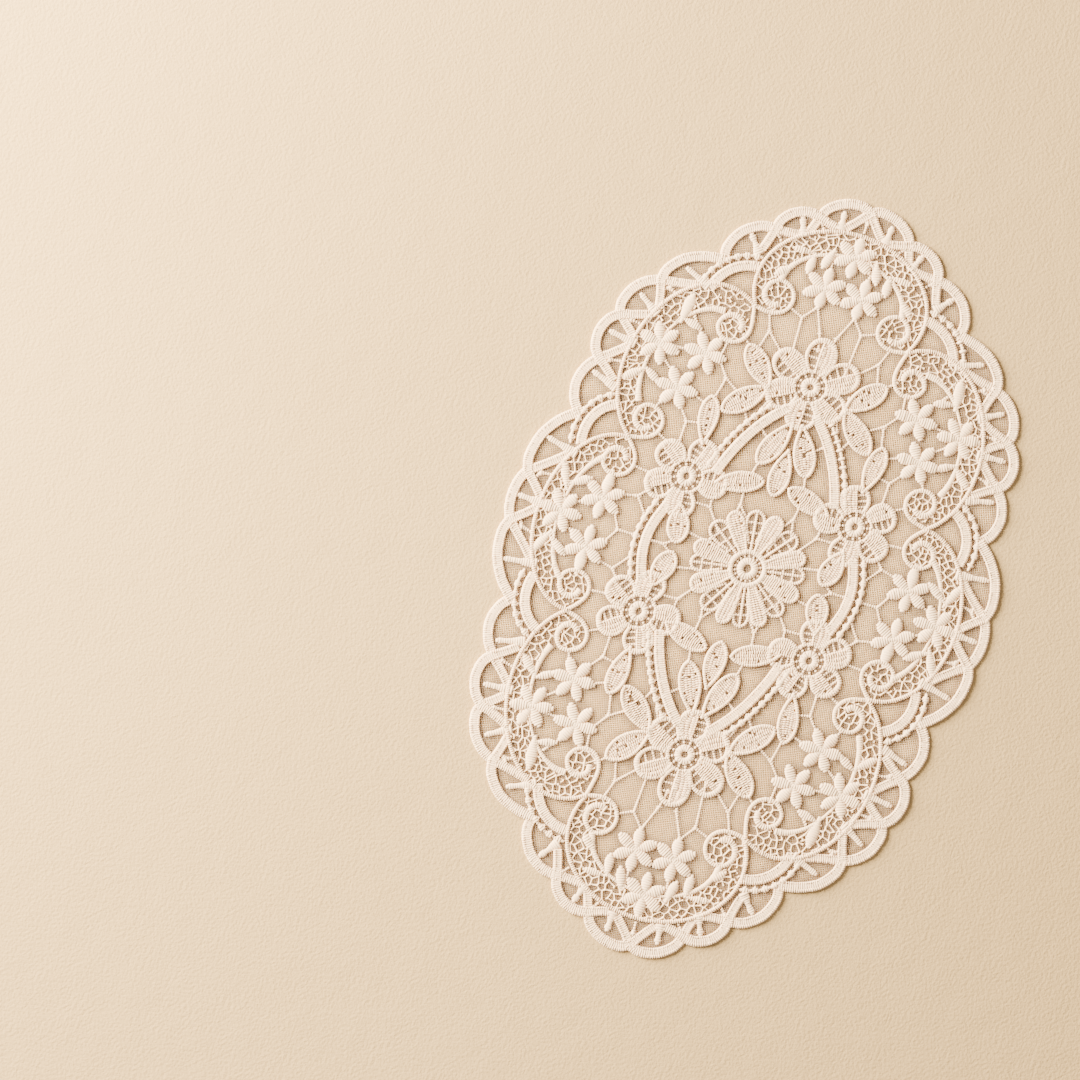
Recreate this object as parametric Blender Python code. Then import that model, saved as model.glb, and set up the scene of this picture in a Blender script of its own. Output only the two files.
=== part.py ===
"""An oval lace doily, laid flat: tape lace with flowers, leaves and eight paisley medallions.

Every motif is a ribbon, a centre line with a half width at each of its points. The ribbons
of one quarter and of the two axes are mirrored into the whole, their union is found, and
its gaps are cut through one sheet whose top is raised along the middle of each ribbon.

Lengths are millimetres until the mesh is made, which is in metres.
"""
import math
from collections import namedtuple

import bmesh
import bpy
import numpy as np
from mathutils import Vector
from mathutils.geometry import delaunay_2d_cdt

MM = 0.001

# The oval and how unevenly it lies.
HALF_LENGTH = 203.5
CENTRE_RISE = 6.5        # how far above the middle of the cloth the daisy sits
FOOT_SWAY = 7.0          # how far the lower end leans to the right
PULL = (0.5, -1.1)       # to the right, for each 100 mm across and for each across and along
LIFT = (5.1, -1.95, -1.55, 0.42)     # upward, by across, its cube, across and along, along^2

# Heights above the table.
BASE_HEIGHT = 1.0        # bars, nets and the edges of the motifs
FLAT = None              # a ribbon that adds no relief
LEVEL = 0.0              # a ribbon kept down at the base height, between higher ones
BAND_CROWN = 0.9         # how far the middle of a tape, leaf or petal stands above its edge
FLORET_CROWN = 0.8
CORD_RISE = 0.6          # how far the cords of the medallions stand above the net

# Widths of what the lace is made of.
BAND = 5.2               # the woven tape of the edge and of the inner oval
ARM = 5.0                # the same tape where it runs in from the edge
ARM_SHORT = 2.7          # how far short of the next bud's foot it ends
ARM_TUCK = 1.8           # and how far it then goes on under the medallion's cord
ARM_BOW = 0.9
CORD = 2.2               # the cord around each medallion
BAR = 1.3                # the bars that join the motifs
BEAD_ROW = 7.0           # a row of beads and of the holes beside it, from the tape's middle

# Gaps.
LEAST_GAP = 4.0          # a gap with the area of this square, or more, is cut through
LEAST_WIDTH = 2.8        # unless it is a slit narrower than this
MOST_GAPS = 300
GAP_DETAIL = 0.75        # how far a gap's outline may leave its true course
EDGE_DETAIL = 0.30
MERGE = 0.0001
CROWN_SPACING = 8.5      # along a ribbon, between the points of its relief
CROWN_APART = 4.6        # and between the points of two ribbons
LEVEL_APART = 3.0
CROWN_CLEARANCE = 1.1    # from such a point to the edge of the cloth

Ribbon = namedtuple("Ribbon", "path halves crown")
Scallop = namedtuple("Scallop", "start_x start_y sagitta foot_x foot_y tip_x tip_y")
Medallion = namedtuple("Medallion", "tip_a tip_b depth shoulder lean crescent")
Curl = namedtuple("Curl", "centre_a centre_b radius")
Leaf = namedtuple("Leaf", "base tip width fullest")
Join = namedtuple("Join", "centre radius_a angle_a radius_b angle_b")
Knot = namedtuple("Knot", "place ends")
Link = namedtuple("Link", "start_x start_y end_x end_y")
Petal = namedtuple("Petal", "root reach width fullest sharpness steps crown")
Spoon = namedtuple("Spoon", "root reach width narrow fullest swelling")

# The scalloped edge, from the top of the oval to its side. Each scallop starts at a cusp,
# and its foot and tip are those of the bud that stands in it.
SCALLOPS = [
    Scallop(0.0, 201.0, 5.2, 12.5, 187.5, 13.0, 194.0),
    Scallop(26.5, 190.0, 4.8, 30.5, 178.0, 33.0, 184.5),
    Scallop(46.5, 176.5, 7.0, 50.5, 161.5, 55.5, 167.5),
    Scallop(67.5, 151.0, 6.3, 71.5, 135.5, 80.5, 139.0),
    Scallop(94.6, 130.0, 5.3, 91.0, 113.5, 98.5, 118.0),
    Scallop(108.8, 105.0, 5.3, 97.5, 93.5, 107.0, 94.5),
    Scallop(111.2, 79.0, 5.8, 99.0, 69.5, 108.0, 72.0),
    Scallop(111.8, 50.0, 6.2, 107.5, 30.5, 118.5, 32.5),
    Scallop(126.0, 12.5, 2.6, 114.0, 0.0, 122.5, 0.0),
]
LAST = len(SCALLOPS) - 1
JOIN_CUSPS = (3, 7)      # the cusps that stand over a join of two medallions
WEBBED_CUSPS = (1, 2, 4, 5, 6, 8)

MEDALLIONS = {
    "end": Medallion((-41.0, 132.0), (41.0, 132.0), 52.0, 15.7, 0.0, 12.5),
    "shoulder": Medallion((41.5, 132.0), (80.0, 47.0), 35.3, 0.0, -0.22, 12.0),
    "side": Medallion((80.0, 46.5), (80.0, -46.5), 31.3, 0.0, 0.0, 11.0),
}
CURLS = {
    "end": Curl((-32.0, 140.0), (32.0, 140.0), 8.8),
    "shoulder": Curl((47.8, 118.0), (73.8, 57.5), 8.2),
    "side": Curl((80.8, 34.2), (80.8, -34.2), 8.2),
}
FLORETS = {              # centre and the angle of a petal
    "end": [(-10.0, 151.5, 30), (10.0, 151.5, 30), (0.0, 172.0, 30)],
    "shoulder": [(57.0, 100.0, 0), (65.0, 78.5, 0), (81.0, 97.5, 10)],
    "side": [(81.7, 13.2, 30), (81.7, -13.2, 30), (100.0, 0.0, 0)],
}
BUD_PLACES = (-0.52, -0.28, 0.28, 0.52)     # along the stem, as t in frame_point
BUD_LENGTH = 8.0
BUD_WIDTH = 4.6

# The petals of each flower: how far from its centre they start and reach, and their shape.
FLORET_PETAL = Petal(0.3, 10.6, 6.2, 0.60, 0.70, 6, FLAT)
TOP_PETAL = Spoon(4.4, 24.0, 16.6, 5.0, 0.56, 1.4)
SIDE_PETAL = Spoon(4.4, 21.4, 15.5, 5.8, 0.54, 1.3)
SOLID_PETAL = Spoon(6.0, 30.2, 10.6, 2.4, 0.785, 1.5)
LATTICE_PETAL = Spoon(6.0, 29.2, 10.2, 2.4, 0.767, 1.5)

JOINS = [
    Join((41.5, 132.0), 20.0, 79.0, 24.5, 4.0),
    Join((80.0, 46.8), 17.5, 50.0, 24.5, -28.0),
]

TOP_FLOWER = (0.0, 99.5)
TOP_PETALS = [(90, 26.6), (33, 25.8), (-30, 22.8), (-90, 23.0), (-150, 23.0), (150, 25.2)]
SIDE_FLOWER = (45.0, 36.5)
SIDE_PETALS = [(108, 21.4), (36, 21.4), (-32, 21.4), (-95, 21.4), (179, 21.4)]
DAISY = (0.0, 0.0)
DAISY_ANGLES = [8, 28, 52, 77, 99, 122, 143, 171, 189, 214, 240, 262, 281, 301, 322, 345]
LEAVES = [
    Leaf((20.5, 93.5), (37.5, 111.5), 12.5, 0.56),
    Leaf((21.0, 92.5), (39.5, 74.5), 12.5, 0.55),
    Leaf((2.5, 79.0), (13.0, 53.5), 12.0, 0.60),
    Leaf((43.0, 55.0), (46.0, 80.5), 11.0, 0.60),
    Leaf((30.0, 38.0), (6.5, 45.5), 11.5, 0.55),
    Leaf((43.5, 22.5), (38.5, 2.5), 12.0, 0.60),
]
INNER_LEAF = Leaf((0.0, 64.5), (0.0, 39.5), 11.5, 0.60)
OVAL_TAPE = ((5.0, 88.0), (24.0, 70.0), (33.0, 39.0))
SIDE_TAPE = [(48.0, 24.0), (53.0, 10.0), (54.0, 0.0), (53.0, -10.0), (48.0, -24.0)]

# The bars of one quarter: those that meet in a knot, and those that link two motifs.
KNOTS = [
    Knot((4.5, 128.0), [(10.0, 141.0), (2.5, 119.0)]),
    Knot((16.0, 133.5), [(10.0, 141.0), (24.5, 137.0), (14.5, 109.0)]),
    Knot((29.5, 121.5), [(33.0, 131.5), (33.0, 108.0), (17.0, 109.5)]),
    Knot((42.5, 91.0), [(49.0, 99.5), (45.0, 79.0), (34.5, 86.0)]),
    Knot((54.5, 63.5), [(60.5, 71.0), (54.5, 52.0), (46.5, 65.0)]),
    Knot((65.0, 19.5), [(74.0, 17.5), (58.5, 11.0), (57.5, 28.5)]),
    Knot((69.0, 0.0), [(74.0, 8.5), (59.0, 0.0)]),
    Knot((14.0, 30.5), [(15.0, 39.0), (8.5, 24.0), (16.5, 20.0)]),
    Knot((28.5, 25.0), [(29.0, 32.0), (20.5, 14.5), (38.0, 25.0)]),
    Knot((44.5, 0.0), [(40.0, 3.5), (52.0, 0.0)]),
]
LINKS = [
    Link(35.5, 109.5, 41.5, 115.5),
    Link(20.5, 100.0, 22.5, 98.0),
    Link(17.0, 89.0, 20.5, 81.0),
    Link(28.5, 78.5, 25.5, 73.5),
    Link(10.0, 66.0, 17.0, 71.5),
    Link(12.5, 55.0, 14.5, 44.0),
    Link(36.5, 9.8, 24.0, 7.6),
    Link(47.5, 75.0, 57.0, 78.5),
    Link(59.0, 50.0, 66.5, 53.5),
    Link(62.0, 32.5, 73.0, 33.5),
    Link(10.0, 160.0, 10.8, 172.0),
    Link(48.0, 111.0, 49.0, 101.0),
    Link(61.0, 107.5, 68.5, 116.5),
    Link(66.5, 99.0, 74.0, 98.5),
    Link(70.0, 86.0, 76.0, 90.5),
    Link(70.0, 70.5, 72.0, 65.5),
    Link(81.5, 22.5, 81.0, 27.0),
    Link(90.0, 8.5, 96.0, 5.5),
]


# ------------------------------------------------------------------ plane geometry
def add(a, b, k=1.0):
    return (a[0] + k * b[0], a[1] + k * b[1])


def sub(a, b):
    return (a[0] - b[0], a[1] - b[1])


def unit(a):
    length = math.hypot(*a)
    return (a[0] / length, a[1] / length)


def lerp(a, b, t):
    return (a[0] + (b[0] - a[0]) * t, a[1] + (b[1] - a[1]) * t)


def polar(centre, radius, degrees):
    angle = math.radians(degrees)
    return (centre[0] + radius * math.cos(angle), centre[1] + radius * math.sin(angle))


def smooth(points, steps):
    """A Catmull-Rom curve through the points."""
    first = add(points[0], sub(points[0], points[1]))
    last = add(points[-1], sub(points[-1], points[-2]))
    padded = [first] + list(points) + [last]
    curve = []
    for a, b, c, d in zip(padded, padded[1:], padded[2:], padded[3:]):
        for k in range(steps):
            t = k / steps
            weights = (-t + 2 * t**2 - t**3, 2 - 5 * t**2 + 3 * t**3,
                       t + 4 * t**2 - 3 * t**3, t**3 - t**2)
            curve.append(tuple(0.5 * sum(w * p[axis] for w, p in zip(weights, (a, b, c, d)))
                               for axis in (0, 1)))
    return curve + [points[-1]]


def bezier(a, b, c, steps):
    return [lerp(lerp(a, b, i / steps), lerp(b, c, i / steps), i / steps)
            for i in range(steps + 1)]


def normals(path):
    """The direction to the left of the path at each of its points."""
    result = []
    for i in range(len(path)):
        ahead = path[min(i + 1, len(path) - 1)]
        behind = path[max(i - 1, 0)]
        d = unit(sub(ahead, behind))
        result.append((-d[1], d[0]))
    return result


def stroke(path, width, crown=FLAT, taper=None):
    """A ribbon along a path, of one width or of one that the taper scales."""
    last = len(path) - 1
    halves = [width / 2 * (taper(i / last) if taper else 1.0) for i in range(last + 1)]
    return Ribbon(path, halves, crown)


def petal(base, tip, width, fullest, sharpness, steps, crown):
    """A leaf or petal that is widest at a share of the way from its base to its tip."""
    power = math.log(0.5) / math.log(fullest)
    path = [lerp(base, tip, i / steps) for i in range(steps + 1)]
    halves = [max(0.4, width / 2 * math.sin(math.pi * (i / steps) ** power) ** sharpness)
              for i in range(steps + 1)]
    return Ribbon(path, halves, crown)


def spoon_at(centre, angle, shape, steps=11):
    """A round-ended petal."""
    base = polar(centre, shape.root, angle)
    tip = polar(centre, shape.reach, angle)
    path, halves = [], []
    for i in range(steps + 1):
        t = (1 - math.cos(math.pi * i / steps)) / 2
        path.append(lerp(base, tip, t))
        if t < shape.fullest:
            swell = math.sin(math.pi / 2 * t / shape.fullest) ** shape.swelling
            halves.append(shape.narrow / 2 + (shape.width - shape.narrow) / 2 * swell)
        else:
            past = (t - shape.fullest) / (1 - shape.fullest)
            halves.append(max(0.4, shape.width / 2 * math.sqrt(max(0.0, 1 - past ** 2.4))))
    return Ribbon(path, halves, BAND_CROWN)


def petal_at(centre, angle, shape):
    base = polar(centre, shape.root, angle)
    tip = polar(centre, shape.reach, angle)
    return petal(base, tip, shape.width, shape.fullest, shape.sharpness, shape.steps, shape.crown)


def ring(centre, radius, width, steps):
    return stroke([polar(centre, radius, 360 * k / steps) for k in range(steps + 1)], width)


def disc(centre, radius, crown=FLAT, steps=10):
    """A round ribbon."""
    path = []
    halves = []
    for i in range(steps + 1):
        angle = math.pi * i / steps
        path.append((centre[0] - radius * math.cos(angle), centre[1]))
        halves.append(max(0.05, radius * math.sin(angle)))
    return Ribbon(path, halves, crown)


def evenly(path, spacing):
    """Points along a path at an even spacing, each with the direction there."""
    lengths = [0.0]
    for a, b in zip(path, path[1:]):
        lengths.append(lengths[-1] + math.dist(a, b))
    count = max(1, round(lengths[-1] / spacing))
    result = []
    for k in range(count):
        goal = (k + 0.5) / count * lengths[-1]
        j = max(i for i in range(len(path) - 1) if lengths[i] <= goal)
        share = (goal - lengths[j]) / (lengths[j + 1] - lengths[j])
        result.append((lerp(path[j], path[j + 1], share), unit(sub(path[j + 1], path[j]))))
    return result


# ------------------------------------------------------------------ scalloped edge
def cusp(i):
    """The cusp where scallop i starts, past either axis a mirrored one."""
    if i < 0:
        return (-SCALLOPS[-i].start_x, SCALLOPS[-i].start_y)
    if i > LAST:
        mirrored = SCALLOPS[2 * LAST + 1 - i]
        return (mirrored.start_x, -mirrored.start_y)
    return (SCALLOPS[i].start_x, SCALLOPS[i].start_y)


def bud_line(i):
    """The foot and the tip of the bud in scallop i, past either axis of a mirrored one."""
    sign_x, sign_y, index = 1, 1, i
    if i < 0:
        sign_x, index = -1, -1 - i
    if i > LAST:
        sign_y, index = -1, 2 * LAST - i
    row = SCALLOPS[index]
    return ((row.foot_x * sign_x, row.foot_y * sign_y), (row.tip_x * sign_x, row.tip_y * sign_y))


def foot(i):
    return bud_line(i)[0]


def arm_end(i, here):
    """Where the arm that comes from a bud's foot ends beside the foot of the bud of scallop i."""
    base, tip = bud_line(i)
    beside = add(base, unit(sub(here, base)), ARM_SHORT)
    return add(beside, unit(sub(base, tip)), ARM_TUCK)


def arm(start, end, side):
    """The bowed arm of a tape, from the crossing to the foot of the next bud."""
    along = unit(sub(end, start))
    bow = (-along[1] * side, along[0] * side)
    return [add(lerp(start, end, t), bow, ARM_BOW * math.sin(math.pi * t))
            for t in (0.35, 0.7, 1.0)]


def crossing(i):
    """Where the tapes of the two scallops that meet at cusp i cross."""
    inward = unit(sub(lerp(foot(i - 1), foot(i), 0.5), cusp(i)))
    return add(cusp(i), inward, 3.4)


def over_join(i):
    return i in JOIN_CUSPS or 2 * LAST + 1 - i in JOIN_CUSPS


def scallop(i):
    """The tape of scallop i, which runs in at each end to the neighbouring bud's foot."""
    a, b = cusp(i), cusp(i + 1)
    chord = unit(sub(b, a))
    outward = (-chord[1], chord[0])
    rise = SCALLOPS[i].sagitta
    points = [crossing(i)]
    for share, height in ((0.2, 0.64), (0.5, 1.0), (0.8, 0.64)):
        points.append(add(lerp(a, b, share), outward, rise * height - BAND / 2))
    points.append(crossing(i + 1))
    path = smooth(points, 3)
    halves = [BAND / 2] * len(path)
    here = foot(i)
    if not over_join(i):
        path = arm(path[0], arm_end(i - 1, here), 1)[::-1] + path
        halves = [ARM / 2] * 3 + halves
    if not over_join(i + 1):
        path = path + arm(path[-1], arm_end(i + 1, here), -1)
        halves = halves + [ARM / 2] * 3
    return Ribbon(path, halves, BAND_CROWN)


def bud(i):
    """The round-ended bud that stands in scallop i."""
    base, tip = bud_line(i)
    path = [lerp(base, tip, share) for share in (-0.45, 0.0, 0.3, 0.7, 0.9, 1.04)]
    return Ribbon(path, [2.6, 2.3, 1.8, 1.6, 1.7, 0.9], FLAT)


def web(i):
    """Three bars that meet in a knot between the tapes under cusp i."""
    top = crossing(i)
    left, right = foot(i - 1), foot(i)
    middle = lerp(left, right, 0.5)
    knot = lerp(middle, top, 0.42)
    sill = add(middle, unit(sub(middle, top)), 1.2)
    ends = [sill, lerp(left, top, 0.62), lerp(right, top, 0.62)]
    return [stroke([knot, end], BAR) for end in ends] + [disc(knot, 1.4, steps=6)]


# ------------------------------------------------------------------ medallions
def frame_point(name, t, inset=0.0):
    """A point of a medallion's frame, t running from -1 at tip a to 1 at tip b."""
    m = MEDALLIONS[name]
    along = unit(sub(m.tip_b, m.tip_a))
    outward = (-along[1], along[0])
    rise = m.depth - m.shoulder
    start = math.asin(m.shoulder / rise)
    reach = math.dist(m.tip_a, m.tip_b) / 2 / math.cos(start)
    angle = t * (math.pi / 2 + start)
    height = (rise - inset) * math.cos(angle)
    side = (reach - inset) * math.sin(angle) + m.lean * height
    middle = lerp(m.tip_a, m.tip_b, 0.5)
    return add(add(middle, along, side), outward, height + m.shoulder)


def frame_line(name, limit, inset, steps):
    return [frame_point(name, limit * (2 * i / steps - 1), inset) for i in range(steps + 1)]


def curl_path(name, at_b):
    """The spiral that the frame runs into at one of its tips."""
    curl = CURLS[name]
    centre = curl.centre_b if at_b else curl.centre_a
    tip = MEDALLIONS[name].tip_b if at_b else MEDALLIONS[name].tip_a
    turn = -1 if at_b else 1
    away = sub(tip, centre)
    start = math.degrees(math.atan2(away[1], away[0]))
    sweep, steps, tightening = 400.0, 20, 0.6
    path = []
    for i in range(steps + 1):
        share = i / steps
        radius = curl.radius + (math.hypot(*away) - curl.radius) * math.exp(-share * 19)
        if share > tightening:
            radius -= 4.2 * ((share - tightening) / (1 - tightening)) ** 1.2
        path.append(polar(centre, radius, start + turn * share * sweep))
    return path


def floret(x, y, turn):
    """A small flower of six petals."""
    petals = [petal_at((x, y), turn + 60 * k, FLORET_PETAL) for k in range(6)]
    return petals + [disc((x, y), 2.0, FLORET_CROWN, steps=6)]


def cords(name):
    """The cords that stand above the net: the frame, its two curls and the tapered stem."""
    stem = stroke(frame_line(name, 0.74, MEDALLIONS[name].crescent, 16), 3.4,
                  taper=lambda t: 1.0 - 0.55 * math.sin(math.pi * t))
    curls = [stroke(curl_path(name, at_b), CORD) for at_b in (False, True)]
    return [stroke(frame_line(name, 1.0, 0.0, 24), CORD), stem] + curls


def medallion(name):
    """A paisley medallion: cords, a crescent of net, buds and florets."""
    crescent = MEDALLIONS[name].crescent
    curl = CURLS[name]
    parts = cords(name)
    parts += [disc(centre, curl.radius, LEVEL) for centre in (curl.centre_a, curl.centre_b)]
    parts.append(stroke(frame_line(name, 1.0, crescent / 2, 20), crescent, LEVEL))
    for place in BUD_PLACES:
        base = frame_point(name, place, crescent)
        tip = frame_point(name, place * 0.86, crescent + BUD_LENGTH)
        parts.append(petal(base, tip, BUD_WIDTH, 0.62, 0.7, 5, FLAT))
    for row in FLORETS[name]:
        parts += floret(*row)
    return parts


# ------------------------------------------------------------------ tapes and beads
def beaded(path):
    """The row of small holes and beads to the left of a tape, whose holes are under 4 mm."""
    line = [add(p, n, BEAD_ROW / 2) for p, n in zip(path, normals(path))]
    return stroke(line, BEAD_ROW)


def join_arc(join):
    """The arc of tape that bridges two medallions."""
    steps = 8
    return [polar(join.centre,
                  join.radius_a + (join.radius_b - join.radius_a) * i / steps,
                  join.angle_a + (join.angle_b - join.angle_a) * i / steps)
            for i in range(steps + 1)]


# ------------------------------------------------------------------ garland and daisy
def leaf(row):
    return petal(row.base, row.tip, row.width, row.fullest, 0.5, 10, BAND_CROWN)


def big_flower(centre, petals, shape):
    """A garland flower: a ring with a small eye, and round petals."""
    parts = [ring(centre, 3.4, 3.6, 14)]
    return parts + [spoon_at(centre, angle, shape._replace(reach=reach))
                    for angle, reach in petals]


def daisy():
    """The middle flower, of petals that touch, with a groove between each two."""
    parts = [ring(DAISY, 5.0, 6.4, 16)]
    count = len(DAISY_ANGLES)
    for k, angle in enumerate(DAISY_ANGLES):
        ahead = (DAISY_ANGLES[(k + 1) % count] - angle) % 360
        behind = (angle - DAISY_ANGLES[k - 1]) % 360
        shape = SOLID_PETAL if k % 2 else LATTICE_PETAL
        shape = shape._replace(width=shape.width * (ahead + behind) / 45)
        parts.append(spoon_at(DAISY, angle, shape))
        groove = angle + ahead / 2
        parts.append(stroke([polar(DAISY, 15.0, groove), polar(DAISY, 22.0, groove)], 1.0, LEVEL))
    return parts


# ------------------------------------------------------------------ the whole cloth
def quarter():
    parts = []
    for i in range(LAST):
        parts += [scallop(i), bud(i)]
    for i in WEBBED_CUSPS:
        parts += web(i)
    parts += medallion("shoulder")
    for join in JOINS:
        arc = join_arc(join)
        parts.append(stroke(arc, BAND, BAND_CROWN))
        parts.append(beaded(arc))
    tape = bezier(*OVAL_TAPE, 10)
    parts.append(stroke(tape, BAND, BAND_CROWN))
    parts.append(beaded(tape[2:-1]))
    parts += [leaf(row) for row in LEAVES]
    parts += big_flower(SIDE_FLOWER, SIDE_PETALS, SIDE_PETAL)
    parts += [stroke([knot.place, end], BAR) for knot in KNOTS for end in knot.ends]
    parts += [stroke([(row.start_x, row.start_y), (row.end_x, row.end_y)], BAR) for row in LINKS]
    return parts


def upright():
    """What the long axis mirrors onto itself, at the upper end."""
    flower = big_flower(TOP_FLOWER, TOP_PETALS, TOP_PETAL)
    return web(0) + medallion("end") + flower + [leaf(INNER_LEAF)]


def sideways():
    """What the short axis mirrors onto itself, at the right side."""
    tape = smooth(SIDE_TAPE, 3)
    return [scallop(LAST), bud(LAST), stroke(tape, BAND, BAND_CROWN),
            beaded(tape)] + medallion("side")


def quarter_cords():
    return cords("shoulder")


def upright_cords():
    return cords("end")


def sideways_cords():
    return cords("side")


def laid(point):
    """Where a point of the regular pattern lies on the hand-made cloth."""
    x, y = point
    across, along = x / 100, y / 100
    rise = CENTRE_RISE * (1 - (y / HALF_LENGTH) ** 2)
    sway = FOOT_SWAY * (max(0.0, -y - 40.0) / (HALF_LENGTH - 40.0)) ** 2
    pull = across * (PULL[0] + PULL[1] * along)
    lift = across * (LIFT[0] + LIFT[1] * across ** 2 + LIFT[2] * along) + LIFT[3] * along ** 2
    return (x + sway + pull, y + rise + lift)


def mirrored(parts, sign_x, sign_y):
    return [Ribbon([laid((x * sign_x, y * sign_y)) for x, y in part.path], part.halves, part.crown)
            for part in parts]


def all_of(in_quarter, on_long_axis, on_short_axis):
    """The ribbons that these three functions give, mirrored to the whole cloth."""
    parts = []
    for sign_x in (1, -1):
        for sign_y in (1, -1):
            parts += mirrored(in_quarter(), sign_x, sign_y)
    for sign in (1, -1):
        parts += mirrored(on_long_axis(), 1, sign)
        parts += mirrored(on_short_axis(), sign, 1)
    return parts


# ------------------------------------------------------------------ union and gaps
def ribbon_triangles(part, points, triangles):
    """Add a ribbon's triangles, each turned counterclockwise."""
    sides = []
    for p, n, half in zip(part.path, normals(part.path), part.halves):
        sides.append((len(points), len(points) + 1))
        points += [add(p, n, half), add(p, n, -half)]
    for (left, right), (next_left, next_right) in zip(sides, sides[1:]):
        for triangle in ((right, next_right, next_left), (right, next_left, left)):
            a, b, c = (points[k] for k in triangle)
            area = (b[0] - a[0]) * (c[1] - a[1]) - (c[0] - a[0]) * (b[1] - a[1])
            if abs(area) > 1e-6:
                triangles.append(triangle if area > 0 else triangle[::-1])


def boundary_loops(triangles):
    """The closed loops of edges that only one of the triangles has."""
    edges = {(t[k], t[(k + 1) % 3]) for t in triangles for k in range(3)}
    following = {}
    for a, b in edges:
        if (b, a) not in edges:
            following.setdefault(a, []).append(b)
    loops = []
    while following:
        start = min(following)
        loop = [start]
        while True:
            ends = following[loop[-1]]
            nearest = ends.pop()
            if not ends:
                del following[loop[-1]]
            if nearest == start:
                break
            loop.append(nearest)
        loops.append(loop)
    return loops


def regions(triangles, is_cloth):
    """Groups of neighbouring triangles that are all cloth or all open."""
    by_edge = {}
    for index, t in enumerate(triangles):
        for k in range(3):
            by_edge[(t[k], t[(k + 1) % 3])] = index
    group = [-1] * len(triangles)
    groups = []
    for seed in range(len(triangles)):
        if group[seed] >= 0:
            continue
        members = [seed]
        group[seed] = len(groups)
        for index in members:
            t = triangles[index]
            for k in range(3):
                other = by_edge.get((t[(k + 1) % 3], t[k]))
                if other is not None and group[other] < 0 and is_cloth[other] == is_cloth[seed]:
                    group[other] = group[seed]
                    members.append(other)
        groups.append(members)
    return groups


def area_of(loop):
    x, y = np.array(loop).T
    return 0.5 * float(np.dot(x, np.roll(y, -1)) - np.dot(y, np.roll(x, -1)))


def distance_to_loop(points, loop):
    """The distance of each point from the nearest edge of a closed loop."""
    a = np.array(loop)
    along = np.roll(a, -1, axis=0) - a
    offset = np.array(points)[:, None, :] - a[None, :, :]
    share = np.clip((offset * along).sum(2) / np.maximum((along ** 2).sum(1), 1e-12), 0, 1)
    return np.sqrt(((offset - share[:, :, None] * along) ** 2).sum(2)).min(1)


def widest_circle(loop):
    """The diameter of about the widest circle that fits inside a loop."""
    corners = np.array(loop)
    low, high = corners.min(0), corners.max(0)
    steps = [np.arange(low[k] + 0.2, high[k], 0.4) for k in (0, 1)]
    grid = np.stack(np.meshgrid(*steps), -1).reshape(-1, 2)
    if not len(grid):
        return 0.0
    a, b = corners, np.roll(corners, -1, axis=0)
    spans = (a[:, 1] > grid[:, 1:2]) != (b[:, 1] > grid[:, 1:2])
    rise = np.where(a[:, 1] == b[:, 1], 1.0, b[:, 1] - a[:, 1])
    meets = a[:, 0] + (grid[:, 1:2] - a[:, 1]) * (b[:, 0] - a[:, 0]) / rise
    inside = (spans & (meets > grid[:, 0:1])).sum(1) % 2 == 1
    if not inside.any():
        return 0.0
    return 2 * float(distance_to_loop(grid[inside], loop).max())


def simplified(loop, tolerance):
    """The loop with only the points that its shape needs."""
    def thin(run):
        if len(run) < 3:
            return run[:-1]
        a, b = np.array(run[0]), np.array(run[-1])
        inner = np.array(run[1:-1])
        along = b - a
        share = np.clip((inner - a) @ along / max(along @ along, 1e-12), 0, 1)
        off = np.linalg.norm(inner - a - share[:, None] * along, axis=1)
        worst = int(off.argmax())
        if off[worst] < tolerance:
            return run[:1]
        return thin(run[:worst + 2]) + thin(run[worst + 1:])
    far = max(range(len(loop)), key=lambda k: math.dist(loop[0], loop[k]))
    return thin(loop[:far + 1]) + thin(loop[far:] + loop[:1])


def crosses_itself(loop):
    """Whether two edges of a closed loop cross."""
    def side(a, b, c):
        return (b[0] - a[0]) * (c[1] - a[1]) - (b[1] - a[1]) * (c[0] - a[0])
    edges = list(zip(loop, loop[1:] + loop[:1]))
    return any(side(a, b, c) * side(a, b, d) < 0 and side(c, d, a) * side(c, d, b) < 0
               for k, (a, b) in enumerate(edges) for c, d in edges[k + 1:])


def plain_outline(loop, tolerance):
    """The loop, simplified as far as it can be without crossing itself."""
    result = simplified(loop, tolerance)
    while crosses_itself(result):
        tolerance /= 2
        result = simplified(loop, tolerance)
    return result


def outline_and_gaps(parts):
    """The outer loop of the ribbons' union, and the loops of its larger gaps."""
    points, triangles = [], []
    for part in parts:
        ribbon_triangles(part, points, triangles)
    vertices, _, faces, _, _, sources = delaunay_2d_cdt(
        [Vector(p) for p in points], [], triangles, 0, MERGE)
    groups = regions(faces, [bool(source) for source in sources])
    cloth = max((g for g in groups if sources[g[0]]), key=len)
    loops = [[tuple(vertices[k]) for k in loop]
             for loop in boundary_loops([faces[index] for index in cloth])]
    loops.sort(key=lambda loop: abs(area_of(loop)), reverse=True)
    gaps = [loop for loop in loops[1:]
            if abs(area_of(loop)) >= LEAST_GAP ** 2 and widest_circle(loop) >= LEAST_WIDTH]
    return loops[0], gaps[:MOST_GAPS]


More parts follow.
